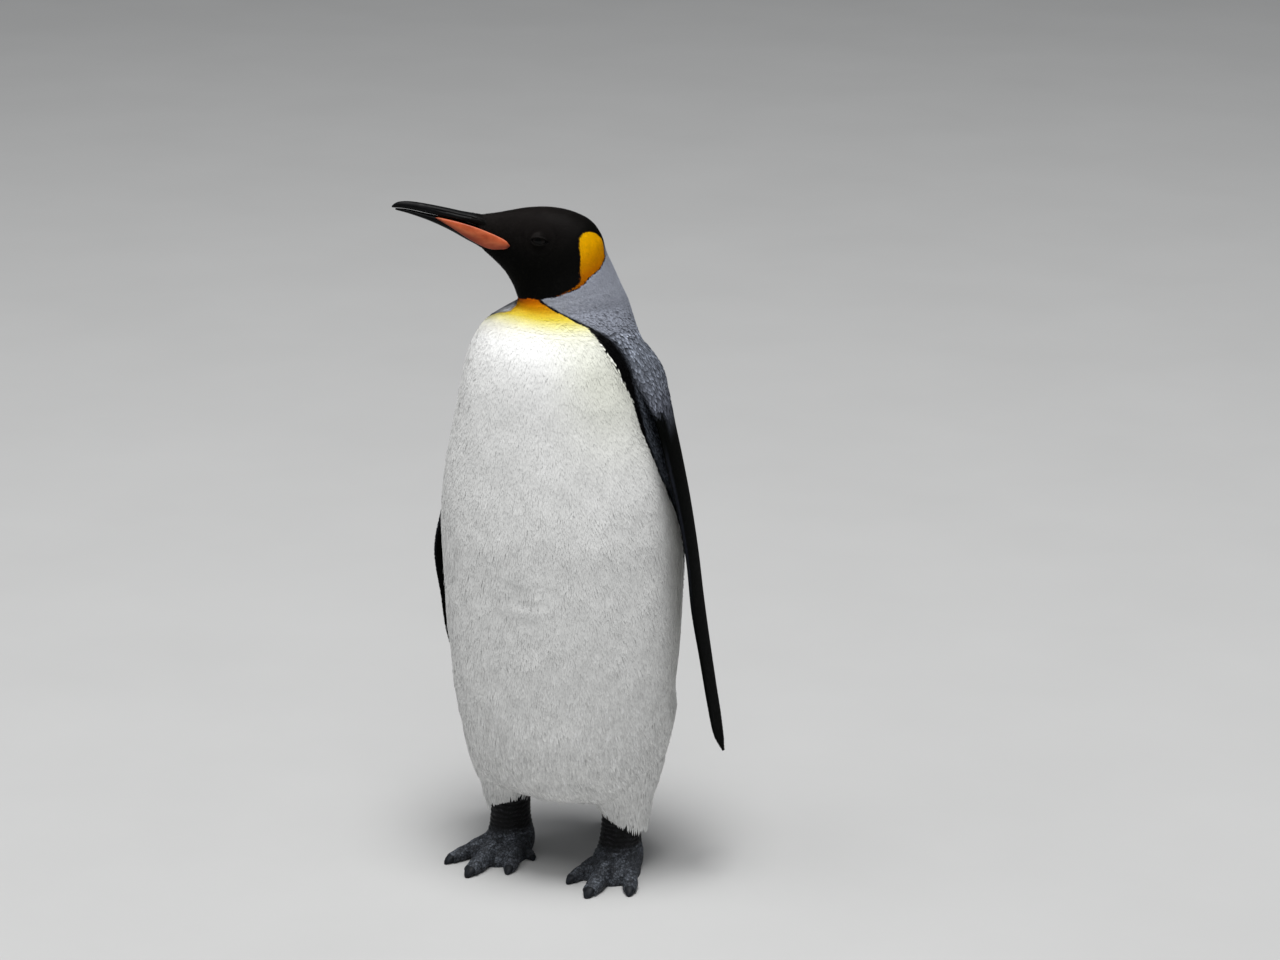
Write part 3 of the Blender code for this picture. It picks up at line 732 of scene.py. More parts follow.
# ---- materials
class Look:
    """A material, and short ways to add nodes to it."""

    def __init__(self, name, roughness, specular=0.5):
        self.made = bpy.data.materials.new(name)
        self.made.use_nodes = True
        self.nodes, self.links = self.made.node_tree.nodes, self.made.node_tree.links
        self.sockets = self.nodes["Principled BSDF"].inputs
        self.feed(self.sockets["Roughness"], roughness)
        self.feed(self.sockets["Specular IOR Level"], specular)
        self.roughness = roughness

    def feed(self, socket, value):
        if isinstance(value, bpy.types.NodeSocket):
            self.links.new(value, socket)
        else:
            socket.default_value = value

    def add(self, kind, *sources, out=0, **settings):
        """The output of a new node. Capital settings are inputs by name, and sources are inputs in order."""
        node = self.nodes.new("ShaderNode" + kind)
        for key, value in settings.items():
            if key[0].isupper():
                self.feed(node.inputs[key.replace("_", " ")], value)
            else:
                setattr(node, key, value)
        for k, value in enumerate(sources):
            self.feed(node.inputs[k], value)
        return node.outputs[out]

    def place(self, stretch=(1, 1, 1)):
        """Places in the model, in metres, drawn in along the axes where stretch is over 1."""
        return self.add("VectorMath", self.add("TexCoord", out="Object"), stretch, operation="MULTIPLY")

    def noise(self, scale, detail=3.0, stretch=(1, 1, 1), rough=0.55):
        return self.add("TexNoise", Vector=self.place(stretch), Scale=scale, Detail=detail, Roughness=rough)

    def ranged(self, source, low, high, from_low=0.3, from_high=0.7):
        span = {"From_Min": from_low, "From_Max": from_high, "To_Min": low, "To_Max": high}
        return self.add("MapRange", Value=source, **span)

    def colour(self, *factors, tint=None):
        """The base colour: the markings times grey factors and, where given, a tint."""
        colour = self.add("Attribute", out="Color", attribute_name="markings")
        if tint is not None:
            colour = self.add("VectorMath", tint, colour, operation="MULTIPLY")
        for factor in factors:
            colour = self.add("VectorMath", colour, operation="SCALE", Scale=factor)
        self.feed(self.sockets["Base Color"], colour)

    def rough(self, source, under, over):
        """Roughness from `under` below the look's own to `over` above it."""
        made = self.ranged(source, self.roughness - under, self.roughness + over)
        self.feed(self.sockets["Roughness"], made)

    def bump(self, height, distance, strength):
        bump = self.add("Bump", out="Normal", Strength=strength, Distance=distance, Height=height)
        self.feed(self.sockets["Normal"], bump)


def coat_material(name, roughness, specular, drift_by):
    """Plumage: the markings, with a fine grain of barbs and a little change from feather to feather."""
    look = Look(name, roughness, specular)
    grain, drift = look.noise(900, 2.0, (1, 1, 0.35)), look.noise(60, 2.0)
    look.colour(look.ranged(grain, 0.90, 1.08), look.ranged(drift, 1 - drift_by, 1 + drift_by))
    look.rough(grain, 0.08, 0.1)
    look.bump(grain, 0.0002, 0.15)
    return look.made


def skin_material():
    """The skin under the plumage, dull, with the same markings."""
    look = Look("under_skin", 0.8, 0.08)
    grain = look.noise(400)
    look.colour(look.ranged(grain, 0.82, 1.02))
    look.bump(grain, 0.0005, 0.6)
    return look.made


def foot_material():
    """Slate-black scaly skin: raised beads with a painted highlight on each, darker gaps, pale dust and fine
    shank wrinkles.
    """
    look = Look("foot_scales", 0.55, 0.2)
    cells = {"Vector": look.place(), "Scale": 300.0}
    gap = look.add("TexVoronoi", feature="DISTANCE_TO_EDGE", out="Distance", **cells)
    each = look.add("SeparateColor", look.add("TexVoronoi", out="Color", **cells))
    dust = look.noise(75)
    look.colour(
        # Each bead is painted lighter in its middle, a painted highlight, and darker towards its edge.
        look.ranged(look.ranged(gap, 0.0, 1.0, 0.0, 0.16), 0.3, 1.7, 0.0, 1.0),
        look.ranged(dust, 0.55, 1.7),
        look.ranged(each, 0.45, 1.6, 0.0, 1.0),
    )
    look.rough(dust, 0.1, 0.15)
    folds = look.noise(160, 3.0, (0.35, 0.35, 2.6))
    look.bump(look.add("Math", look.ranged(gap, 0.0, 0.5, 0.0, 0.16), folds, operation="ADD"), 0.0007, 0.75)
    return look.made


def horn_material(name, low, high, roughness, stretch=(0.28, 0.5, 1.0), scale=260.0, depth=0.0003, gloss=0.1):
    """Horn with long fine growth lines, drawn out along the bill unless stretch says otherwise."""
    look = Look(name, roughness, gloss)
    growth, wear = look.noise(scale, 4.0, stretch, 0.65), look.noise(90)
    low, high = (*linear(*low), 1), (*linear(*high), 1)
    share = look.ranged(growth, 0.0, 1.0)
    tint = look.add("Mix", data_type="RGBA", out="Result", A=low, B=high, Factor=share)
    look.colour(look.ranged(wear, 0.85, 1.15), tint=tint)
    look.rough(growth, 0.08, 0.14)
    look.bump(growth, depth, 0.5)
    return look.made


def eye_material():
    look = Look("wet_eye", 0.1, 0.12)
    look.colour(look.ranged(look.noise(1500), 0.7, 1.25))
    return look.made


def floor_material():
    look = Look("pale_floor", 0.85)
    low, high = (0.52, 0.52, 0.515, 1), (0.57, 0.57, 0.565, 1)
    tint = look.add("Mix", data_type="RGBA", out="Result", A=low, B=high, Factor=look.noise(3.0, 4.0))
    look.feed(look.sockets["Base Color"], tint)
    return look.made


# ---- coat
# Triangles of a vane with one or two middle sections of three points each.
PATTERNS = {
    1: ((0, 2, 1), (0, 3, 2), (0, 1, 3), (2, 4, 1), (3, 4, 2), (1, 4, 3)),
    2: ((0, 2, 1), (0, 3, 2), (0, 1, 3), (2, 5, 4), (2, 4, 1), (3, 6, 5),
        (3, 5, 2), (1, 4, 6), (1, 6, 3), (5, 7, 4), (6, 7, 5), (4, 7, 6)),
}  # fmt: skip
PATCH_SIZE = 0.003  # of the map, across one vane
MAP_MARGIN = 0.004
SMALL_VANE = ((0.62, 1.0),)
pieces = {}


class Coat:
    """Vanes gathered for one piece of the coat."""

    def __init__(self, name):
        self.name, self.batches = name, []

    def lay(self, at, way, length, half, colour, tip=None, root=-0.4, top=1.6, thick=0.42, lean=0.0,
            shape=((0.36, 1.0), (0.76, 0.82)), bulge=0.32, tilt=0.6, map_at=(0.0, 1.0)):  # fmt: skip
        """Vanes rooted at spots. way is 1 towards their sheet's last row and -1 towards its first.

        root and top are the heights of the two ends over the skin, and thick the ridge's over the edges. shape
        gives each middle section's share of the length and of the width, and map_at the columns' part of the
        map.
        """
        if not at.count:
            return
        sheet = at.sheet
        length, half, root, top, thick, lean, bulge, tilt = (
            np.broadcast_to(value, at.count)[:, None]
            for value in (length, half, root, top, thick, lean, bulge, tilt)
        )
        t = np.array([0.0, *(share for share, _ in shape), 1.0])
        down, across = (
            np.maximum(sheet.read(speed, at.u, at.v), 1e-3) for speed in (sheet.down_speed, sheet.round_speed)
        )
        uu = at.u[:, None] + way * length * t * np.cos(lean) / down
        vv = at.v[:, None] + length * t * np.sin(lean) / across
        base, up = sheet.point(uu, vv), unit(sheet.read(sheet.normal, uu, vv))
        along = unit(base[:, -1:] - base[:, :1])
        side = unit(np.cross(up, along))
        middle = base + up * (root + (top - root) * t**0.8)[..., None]
        slope = np.arctan((top - root) / np.maximum(length, 1)) * tilt
        shade = unit(up - along * slope[..., None])
        # Each vertex's section, and whether it stands on an edge of the vane (1 or -1) or on its ridge.
        sections = len(shape)
        section = np.array([0, *np.repeat(np.arange(sections) + 1, 3), sections + 1])
        edge, ridge = np.array([0, *[1, 0, -1] * sections, 0]), np.array([0, *[0, 1, 0] * sections, 0])
        wide = edge * np.array([0, *np.repeat([width for _, width in shape], 3), 0])
        side = side[:, section]
        points = middle[:, section] + side * (half * wide)[..., None]
        points = points + up[:, section] * (thick * ridge)[..., None]
        normals = unit(shade[:, section] + side * (bulge * edge)[..., None])
        t = t[section]
        colours = mix(colour[:, None], (colour if tip is None else tip)[:, None], ease(t, 0.35, 1.0))
        low, wide = map_at
        home = np.stack([low + wide * (at.v % sheet.columns) / sheet.columns, at.along], -1)
        local = np.stack([0.04 * ridge - 0.5 * edge, t - 0.5 + 0.05 * ridge], -1) * PATCH_SIZE
        self.batches.append((points, normals, colours, home, local, np.array(PATTERNS[sections])))

    def build(self, look):
        """One joined mesh with its colours, its shading normals and its map."""
        points, normals, colours = (
            np.concatenate([batch[k].reshape(-1, 3) for batch in self.batches]) for k in range(3)
        )
        homes = np.concatenate([batch[3] for batch in self.batches])
        low, high = homes.min(0), homes.max(0)
        faces, rows, total = [], [], 0
        for vanes, _, _, home, local, pattern in self.batches:
            count, each = vanes.shape[:2]
            faces.append((total + np.arange(count)[:, None, None] * each + pattern).reshape(-1, 3))
            total += count * each
            home = MAP_MARGIN + (home - low) / np.maximum(high - low, 1e-6) * (1 - 2 * MAP_MARGIN)
            rows.append((home[:, None, None] + local[pattern]).reshape(-1, 2))
        mesh = raw_mesh(self.name, points, np.concatenate(faces))
        paint(mesh, colours)
        mesh.uv_layers.new(name="OFBake").uv.foreach_set("vector", flat(np.concatenate(rows)))
        bent = mesh.attributes.new("custom_normal", "FLOAT_VECTOR", "POINT")
        bent.data.foreach_set("vector", flat(normals))
        mesh.update()
        pieces[self.name] = link(self.name, mesh, [look])


# ---- legs and feet
def shank_sheet(side):
    out, forward, height, wide, deep = spread(SHANK, 60)
    middles = standing(side, out, forward, height)
    return Sheet(ovals(middles, xyz(wide, 0, 0), xyz(0, deep, 0), ring_turns(56)))


def ankle_frame(side):
    """The ankle's place on the floor, and the foot's ways ahead and out."""
    sign, a = SIDES[side], math.radians(FOOT_YAW[side])
    ahead = xyz(sign * math.sin(a), -math.cos(a), 0)
    return standing(side, *ANKLE, 0), ahead, xyz(sign * math.cos(a), math.sin(a), 0)


def toe_path(side, toe, places):
    angle, reach, _, knuckle_out, knuckle_ahead, _ = toe
    ankle, ahead, out = ankle_frame(side)
    a = math.radians(angle)
    tip = (ahead * math.cos(a) + out * math.sin(a)) * reach
    t = places[:, None]
    return ankle + (out * knuckle_out + ahead * knuckle_ahead) * 2 * t * (1 - t) * 1.15 + tip * t**2


def toe_rings(path, wides, heights, lifts, columns, power=SECTION_POWER):
    ways = np.gradient(path, axis=0)
    across = unit(xyz(-ways[:, 1], ways[:, 0], 0))
    centre = path + UP * lifts[:, None]
    return Sheet(ovals(centre, across * wides[:, None], UP * heights[:, None], ring_turns(columns), power))


def claw_share(toe):
    """How far along its reach a toe's claw begins."""
    return 1 - toe[-1] / toe[1] * 0.62


def toe_sheet(side, toe):
    """A toe with its joints and pads standing a little proud."""
    half = toe[2]
    t = np.linspace(0, 1, 50)
    tall = half * (1.45 * (1 - t) ** 1.2 + 0.62)
    pads, necks = hill(t, 0.58, 0.07) + hill(t, 0.83, 0.06), hill(t, 0.71, 0.06) + hill(t, 0.95, 0.05)
    swell = 1 + 0.07 * pads - 0.05 * necks
    path = toe_path(side, toe, t * (claw_share(toe) + 0.03))
    return toe_rings(path, half * (1.12 - 0.3 * t) * swell, tall * swell, tall * 0.84, 32)


def claw_sheet(side, toe):
    half = toe[2]
    t = np.linspace(0, 1, 26)
    start = claw_share(toe) + 0.02
    size = np.sqrt(np.maximum(0.03, 1 - t**1.7))
    lift = half * 0.62 - (half * 0.62 - 1.2) * t**1.4
    path = toe_path(side, toe, start + (1 - start) * t)
    return toe_rings(path, half * 0.6 * size, half * 0.46 * size, lift, 28, 2.3)


def web_sheet(side):
    ankle, ahead, out = ankle_frame(side)
    (widest, outer, *_), (_, middle, *_) = TOES["outer"], TOES["middle"]
    angle = np.linspace(widest, TOES["inner"][0], 29)[:, None]
    share = np.abs(angle) / widest
    between = np.sin(math.pi * share) ** 2
    reach = WEB_REACH * (middle * (1 - share) + outer * share) * (1 - 0.10 * between)
    run = (ahead * np.cos(np.radians(angle)) + out * np.sin(np.radians(angle))) * reach / 2
    tall = UP * (WEB_HEIGHT / 2 + 1 - 1.2 * between)
    return Sheet(ovals(ankle + run + UP * (WEB_HEIGHT / 2 - 1), run, tall, ring_turns(48)))


def instep_sheet(side):
    ankle, ahead, side_way = ankle_frame(side)
    out, forward, half, long, tall = INSTEP
    turns = np.linspace(math.radians(10), math.radians(170), 33)[:, None]
    places = ankle + side_way * out + ahead * (forward + long * np.cos(turns))
    size = np.sin(turns) ** 0.8
    return Sheet(ovals(places, side_way * half * size, UP * tall * size, ring_turns(48)))


def bead_heights(points, low):
    """Scales on the toes and the instep: a raised bead round each of many scattered centres."""
    seeds = points[np.random.default_rng(5).permutation(len(points))]
    tree = kd_tree(seeds)
    chosen, taken = [], np.zeros(len(seeds), bool)
    for k, point in enumerate(seeds):
        if taken[k] or point[2] < 1.0 or point[2] > 40:
            continue
        chosen.append(point)
        taken[[j for _, j, _ in tree.find_range(point, BEAD_GAP)]] = True
    centres = kd_tree(chosen)
    beads = np.zeros(len(points))
    for k in np.nonzero((low > 0) & (points[:, 2] > 0.6))[0]:
        near, next_near = centres.find_n(points[k], 2)
        beads[k] = min(1.0, (next_near[2] - near[2]) / BEAD_EDGE)
    return beads


def make_foot(side):
    """One foot fused from its shank, instep, webs and toes, with wrinkles and large scales."""
    sheets = [shank_sheet(side), instep_sheet(side), web_sheet(side)]
    foot = fused(sheets + [toe_sheet(side, toe) for toe in TOES.values()], f"foot_skin_{side}")
    mesh = foot.data
    smoothed(mesh, 6)
    points, normal = points_of(mesh), gathered(mesh.vertex_normals, "vector")
    wrinkle = shank_folds(points)
    wrinkle = np.where(wrinkle < 0, wrinkle * 1.3, wrinkle * 0.7)
    low = fall(points[:, 2], 20, 30)
    shift = 0.75 * wrinkle + 0.9 * (bead_heights(points, low) - 0.6) * low * ease(points[:, 2], 0.5, 2.5)
    points = points + normal * shift[:, None]
    points[:, 2] = np.maximum(points[:, 2], 0.0)
    move(mesh, points)
    return foot


# ---- the skin
def shoulder_only(points):
    return 0.7 * ease(points[:, 2], 545, 585)


def below_thighs(points):
    return fall(points[:, 2], 135, 165)


bare_body = body_sheet()
flippers = {side: flipper_sheet(side) for side in SIDES}
legs = {side: leg_sheet(side) for side in SIDES}
tail = tail_sheet()
LEG_REACH, SHOULDER_REACH, TAIL_REACH = 42, 20, 16  # how far out the soft joins start, in mm
body = filleted(bare_body, legs.values(), LEG_REACH)
body = filleted(body, flippers.values(), SHOULDER_REACH, shoulder_only)
body = filleted(body, [tail], TAIL_REACH)
legs = {side: filleted(leg, [bare_body], LEG_REACH, below_thighs) for side, leg in legs.items()}
flippers = {
    side: filleted(limb, [bare_body], SHOULDER_REACH, shoulder_only) for side, limb in flippers.items()
}
tail = filleted(tail, [bare_body], TAIL_REACH)


def eye_frame(sign):
    """The eye's middle and its own way out."""
    return head_place(EYE[0], EYE[1], sign * EYE[2]), LEFT * sign


def lid_radius(points, sign):
    """How far points lie from the middle of the eye's opening, 1 at its rim, how far from the eye's middle,
    and whether they lie on the eye's side."""
    centre, out = eye_frame(sign)
    d = points - centre
    forward = d @ AHEAD
    slant = d[:, 2] - 0.10 * forward  # the front corner a little lower
    return np.hypot(forward / LID_WIDE, slant / LID_TALL), np.linalg.norm(d, axis=1), d @ out > 0


def refine_near_eyes(mesh):
    """Splits the edges near the eyes twice, for the lids."""
    centres = [Vector(placed(head_place(EYE[0], EYE[1], sign * (EYE[2] + 7)))) for sign in SIDES.values()]
    bm = bmesh.new()
    bm.from_mesh(mesh)
    for _ in range(2):
        middles = [((e.verts[0].co + e.verts[1].co) / 2, e) for e in bm.edges]
        edges = [e for middle, e in middles if any((middle - c).length < LID_ZONE * MM for c in centres)]
        bmesh.ops.subdivide_edges(bm, edges=edges, cuts=1, use_grid_fill=True)
        bmesh.ops.triangulate(bm, faces=[f for f in bm.faces if len(f.verts) > 4])
    bm.to_mesh(mesh)
    bm.free()


def shape_eyelids(mesh):
    refine_near_eyes(mesh)
    points = points_of(mesh)
    for sign in SIDES.values():
        centre, _ = eye_frame(sign)
        radius, far, beside = lid_radius(points, sign)
        d = points - centre
        folds = 0.2 * hill(radius, 1.2, 0.14) + (d[:, 2] < 0) * 0.25 * hill(radius, 1.75, 0.15)
        on_lid = fall(radius, 1.3, 2.1)
        wanted = far * (1 - on_lid) + (EYE_RADIUS + 1.0 + folds) * on_lid
        reach = np.where(radius < 1.5, wanted, np.maximum(wanted, far))
        soft = LID_BASE + LID_BLEND * np.logaddexp(np.clip(reach - LID_BASE, -9, 9) / LID_BLEND, 0)
        reach = np.where(radius > 1.1, soft, np.maximum(reach, LID_BASE))
        inside = fall(radius, 0.94, 1.06)
        reach = reach * (1 - inside) + (EYE_RADIUS - 3.0) * inside
        points = np.where(((far < FACE_ZONE) & beside)[:, None], centre + unit(d) * reach[:, None], points)
    move(mesh, points)


def grid_marks(sheet, colour_of):
    """(points, colours) of a sheet's grid."""
    rows, columns = np.meshgrid(np.arange(float(sheet.rows)), np.arange(float(sheet.columns)), indexing="ij")
    at = Spots(sheet, rows.ravel(), columns.ravel())
    return at.points, colour_of(at)


def body_marks(at):
    return body_colour(at, 0.5 * cloud(at.points, 5, 71))


def skin_marks(points):
    """Colours of the skin, and whether it is bare."""
    sources = [grid_marks(body, body_marks)]
    for side in SIDES:
        sources += [grid_marks(flippers[side], flipper_colour), grid_marks(legs[side], leg_colour)]
    sources.append(grid_marks(tail, tail_colour))
    tree = kd_tree(np.concatenate([places for places, _ in sources]))
    colours = np.concatenate([found for _, found in sources])
    marks, gaps = np.empty((len(points), 3)), np.empty(len(points))
    for k, point in enumerate(points):
        _, j, gaps[k] = tree.find(point)
        marks[k] = colours[j]
    x, y, height = points.T
    foot = (height < 92) & (gaps > 4.5) & (np.hypot(x, y) > 20) & (y < 40)
    bare = foot & ((height < 50) | outside(legs.values(), points, 0.2))
    marks[bare] = foot_colour(points[bare])
    # Dark rims round the eyes.
    for sign in SIDES.values():
        radius, far, beside = lid_radius(points, sign)
        marks = mix(marks, linear(6, 5, 5), fall(radius, 1.25, 1.5) * (far < FACE_ZONE) * beside)
    return marks, bare


def make_skin():
    """One mesh joined from the body, limbs, tail and feet."""
    neck_up = np.arange(FACE_FROM, LAST + 1e-6, FACE_STEP)[:-1]
    places = np.concatenate([np.arange(0, FACE_FROM, SKIN_STEP), neck_up, [LAST]])
    skin = sheet_object("skin", resampled(body, places / GRID_STEP, SKIN_COLUMNS))
    coarse = []
    for side in SIDES:
        coarse += [(flippers[side], 110, 40), (legs[side], 36, 60)]
    others = [
        sheet_object("limb", resampled(sheet, np.linspace(0, sheet.rows - 1, rows), columns))
        for sheet, rows, columns in [*coarse, (tail, 30, 40)]
    ]
    others += [make_foot(side) for side in SIDES]
    for other in others:
        modifier = skin.modifiers.new("join", "BOOLEAN")
        modifier.operation = "UNION"
        modifier.solver = "MANIFOLD"
        modifier.object = other
    baked(skin)
    for other in others:
        bpy.data.objects.remove(other)
    mesh = skin.data
    shape_eyelids(mesh)
    marks, bare = skin_marks(points_of(mesh))
    paint(mesh, marks)
    mesh.materials.clear()
    mesh.materials.append(skin_material())
    mesh.materials.append(foot_material())
    corners = gathered(mesh.loops, "vertex_index", 1, np.int32)
    first = corners[gathered(mesh.polygons, "loop_start", 1, np.int32)]
    mesh.polygons.foreach_set("material_index", bare[first].astype(np.int32))
    mesh.polygons.foreach_set("use_smooth", np.ones(len(mesh.polygons), bool))
    mesh.update()
    return skin


skin = make_skin()

# ---- the coat
PLUMAGE = coat_material("white_plumage", 0.65, 0.1, 0.008)
DARK_PLUMAGE = coat_material("dark_plumage", 0.6, 0.02, 0.05)
HOOD_PLUMAGE = coat_material("hood_plumage", 0.5, 0.03, 0.05)
BLOCKERS = [tail, *legs.values(), *flippers.values()]


def body_spots(s_from, s_to, along, across):
    return spots_over(body, along, across, s_from / GRID_STEP, s_to / GRID_STEP)


def seen_colour(at, length, share=0.75):
    """The marking where a vane's showing part lies, a little down the coat from its root, and that spot."""
    down = np.maximum(body.read(body.down_speed, at.u, at.v)[:, 0], 1e-3)
    seen = Spots(body, np.maximum(at.u - length * share / down, 0), at.v)
    return body_colour(seen, 0.25 * DRAWS.uniform(-1, 1, at.count) + 0.5 * cloud(seen.points, 7, 73)), seen


def feather_shade(at, amount):
    return (1 + at.jitter(amount))[:, None]


def behind_band(at):
    return ease(at.angle, line(at.s, BAND_EDGE), line(at.s, BAND_EDGE) + 4)


def lay_front(coat, low, high):
    """The breast and belly: long, narrow and silky vanes."""
    at = body_spots(low, high, 3.5, 1.65)
    at = at.where(at.angle < line(at.s, WHITE_EDGE) + 1.0).clear_of(BLOCKERS)
    s, points = at.s, at.points
    near_edge = ease(at.angle, line(s, WHITE_EDGE) - 9, line(s, WHITE_EDGE) - 2)
    size = (1 - 0.35 * ease(s, 12.5, 14.6)) * (1 - 0.4 * near_edge)
    length = (14.5 + at.jitter()) * size
    colour, seen = seen_colour(at, length)
    low_down, streaky = fall(s, 4, 8), fall(s, 9.5, 12.5)
    locks = cloud(points * (1, 1, 0.3), 5.5, 111)
    shade = 1 + at.jitter() * (0.008 + 0.02 * streaky + 0.08 * low_down)
    shade = shade * (1 + streaky * (0.03 + 0.09 * low_down) * locks)
    soft = mottle(seen.points * (1, 1, 0.35), 81, 5, 0.03) * mottle(seen.points * (1, 1, 0.6), 83, 24, 0.02)
    shade = shade * (1 + (0.15 + 0.85 * fall(s, 8.5, 12)) * (soft - 1))
    loose = 0.3 + 0.7 * fall(s, 8, 11.2)  # the breast is sleek and the belly looser
    lean = loose * 0.16 * cloud(points, 22, 87) - 0.14 * np.sign(np.cos(at.turn)) * ease(at.angle, 5, 70)
    lean = lean + loose * (at.jitter(0.04) + 0.13 * cloud(points * (1, 1, 0.4), 7, 113))
    lift = 0.85 + loose * (0.3 * cloud(points * (1, 1, 0.5), 9, 89) + 0.32 * locks + at.jitter(0.04))
    lift = lift + 1.2 * (at.chance() < 0.003 * loose)  # a few stray vanes
    coat.lay(at, -1, length, 1.05 * size, colour * shade[:, None], top=lift, lean=lean, thick=0.2,
             shape=((0.4, 1.0), (0.8, 0.75)), bulge=0.06 + 0.08 * streaky,
             tilt=0.15 + 0.2 * streaky)  # fmt: skip


def lay_back(coat, low, high):
    """The back and sides: short stiff scale-like vanes with paler tips, partly their own, partly painted
    highlight.
    """
    at = body_spots(low, high, 3.7, 2.8)
    at = at.where(at.angle >= line(at.s, WHITE_EDGE) + 0.2).clear_of(BLOCKERS)
    band = line(at.s, BAND_EDGE)
    near_edge = fall(at.angle, band, band + 4)
    length = (8.8 + at.jitter(0.8)) * (1 - 0.3 * near_edge)
    colour, seen = seen_colour(at, length, 0.8)
    grey = behind_band(seen)
    colour = colour * (np.exp(at.jitter() * (0.1 + 0.22 * grey)) * mottle(seen.points, 91, 16, 0.07))[:, None]
    lean = 0.12 * cloud(at.points, 25, 93) + at.jitter(0.08)
    # In the grey each vane is darker at its root and paler at its tip: partly the feathers' own, partly
    # painted highlight.
    coat.lay(at, -1, length, 1.8 - 0.6 * near_edge, colour * (1 - 0.62 * grey)[:, None],
             tip=colour * (1 + 0.7 * grey)[:, None], top=1.4 + at.jitter(0.14), lean=lean,
             shape=((0.42, 1.0), (0.84, 0.8)), bulge=0.26, tilt=0.55)  # fmt: skip


def lay_neck(name, low, high, along, across, size):
    """A band of the throat and neck, with finer vanes close to the hood and its patches."""
    coat = Coat(name)
    at = body_spots(low, high, along, across)
    at = at.where(at.s < line(at.angle, HOOD_EDGE) + 0.12 * size).clear_of(flippers.values())
    length = (7.0 - 1.4 * ease(at.s, 15, 17.5) + at.jitter(0.4)) * size
    colour, seen = seen_colour(at, length, 0.7)
    grey = behind_band(seen)
    speckle = (0.015 + grey * (0.05 + 0.1 * fall(seen.s, 14.2, 17.0))) * at.jitter()
    colour = colour * (np.exp(speckle) * mottle(seen.points, 95, 12, 0.04))[:, None]
    grey = grey * (0.12 + 0.88 * fall(seen.s, 14.2, 17.4))
    top = 0.85 + 0.5 * size * np.maximum(grey, 0.7 * ease(at.s, 15.4, 16.6))
    shape = ((0.42, 1.0), (0.82, 0.78)) if size == 1.0 else ((0.42, 1.0),)
    # In the grey each vane is darker at its root and paler at its tip: partly the feathers' own, partly
    # painted highlight.
    coat.lay(at, -1, length, (0.95 + 0.2 * grey) * size**0.7, colour * (1 - 0.6 * grey)[:, None],
             tip=colour * (1 + 0.45 * grey)[:, None], top=top, lean=at.jitter(0.05), shape=shape,
             bulge=0.08 + 0.2 * grey, thick=0.2 + 0.15 * grey, tilt=0.15 + 0.4 * grey)  # fmt: skip
    coat.build(PLUMAGE)


def lay_head():
    """The hood and the ear patches. Vanes are smallest round the patches, the eyes and the face."""
    coat = Coat("coat_head")

    def lay(at, seen_length, length, half, thick, bend=0.0, **more):
        colour, seen = seen_colour(at, seen_length, 0.6)
        colour = colour * feather_shade(at, 0.05) * mottle(seen.points, 97, 9, 0.10)[:, None]
        coat.lay(at, -1, length, half, colour * 0.92, tip=colour * 1.1, lean=at.jitter(0.07) + bend,
                 thick=thick, shape=SMALL_VANE, bulge=0.12, tilt=0.25, **more)  # fmt: skip

    for low, high, along, across, full, wide in (
        (17.8, 21.5, 1.5, 1.0, 3.4, 0.58),
        (21.3, LAST, 1.7, 1.15, 3.6, 0.62),
    ):
        at = body_spots(low, high, along, across)
        at = at.where(at.s >= line(at.angle, HOOD_EDGE) + 0.03)
        length = full - 0.9 * ease(at.s, 22.5, 26) + at.jitter(0.2)
        half = wide - 0.14 * ease(at.s, 22, 26)
        keep = np.ones(at.count, bool)
        for sign in SIDES.values():
            _, far, beside = lid_radius(at.points, sign)
            small = np.where(beside, 0.6 + 0.4 * ease(far, 15, 22), 1.0)
            keep &= ~(beside & (far < 15))
            length, half = length * small, half * small
        at, length, half = at.where(keep), length[keep], half[keep]
        top = 0.85 - 0.25 * ease(at.s, 22, 27)
        lay(at, length, length, half, 0.18, 0.1 * cloud(at.points, 14, 99), top=top)
    # Tiny vanes that climb the lids.
    for sign in SIDES.values():
        at = body_spots(21.3, LAST, 0.8, 0.5)
        radius, far, beside = lid_radius(at.points, sign)
        near = (far < 15.4) & beside & (radius > 1.28)
        at, far, small = at.where(near), far[near], 0.55 + 0.45 * ease(radius[near], 1.3, 3.0)
        climb = LID_BLEND * np.logaddexp((LID_BASE - far) / LID_BLEND, 0)
        lay(at, 1.5, 1.9 * small, 0.32 * small, 0.1, top=climb + 0.7, root=climb - 0.3)
    coat.build(HOOD_PLUMAGE)


def upper_bill_sheet():
    forward, middle, tall, half = bill_rings(UPPER_BILL, 120)
    c, s = squared(ring_turns(44))
    # Narrower above, with a groove along each side from the nostril towards the tip.
    groove = hill(s, 0.28, 0.17) * ease(forward, 92, 104) * fall(forward, 132, 158)
    wide = half * c * (1 - 0.16 * np.clip(s, 0, 1)) * (1 - 0.16 * groove)
    return Sheet(middle[:, None] + LEFT * wide[..., None] + UP * (tall * s)[..., None])


def lower_bill_sheet():
    _, middle, tall, half = bill_rings(LOWER_BILL, 110)
    return Sheet(ovals(middle, LEFT * (half - 0.25), UP * tall, ring_turns(40)))


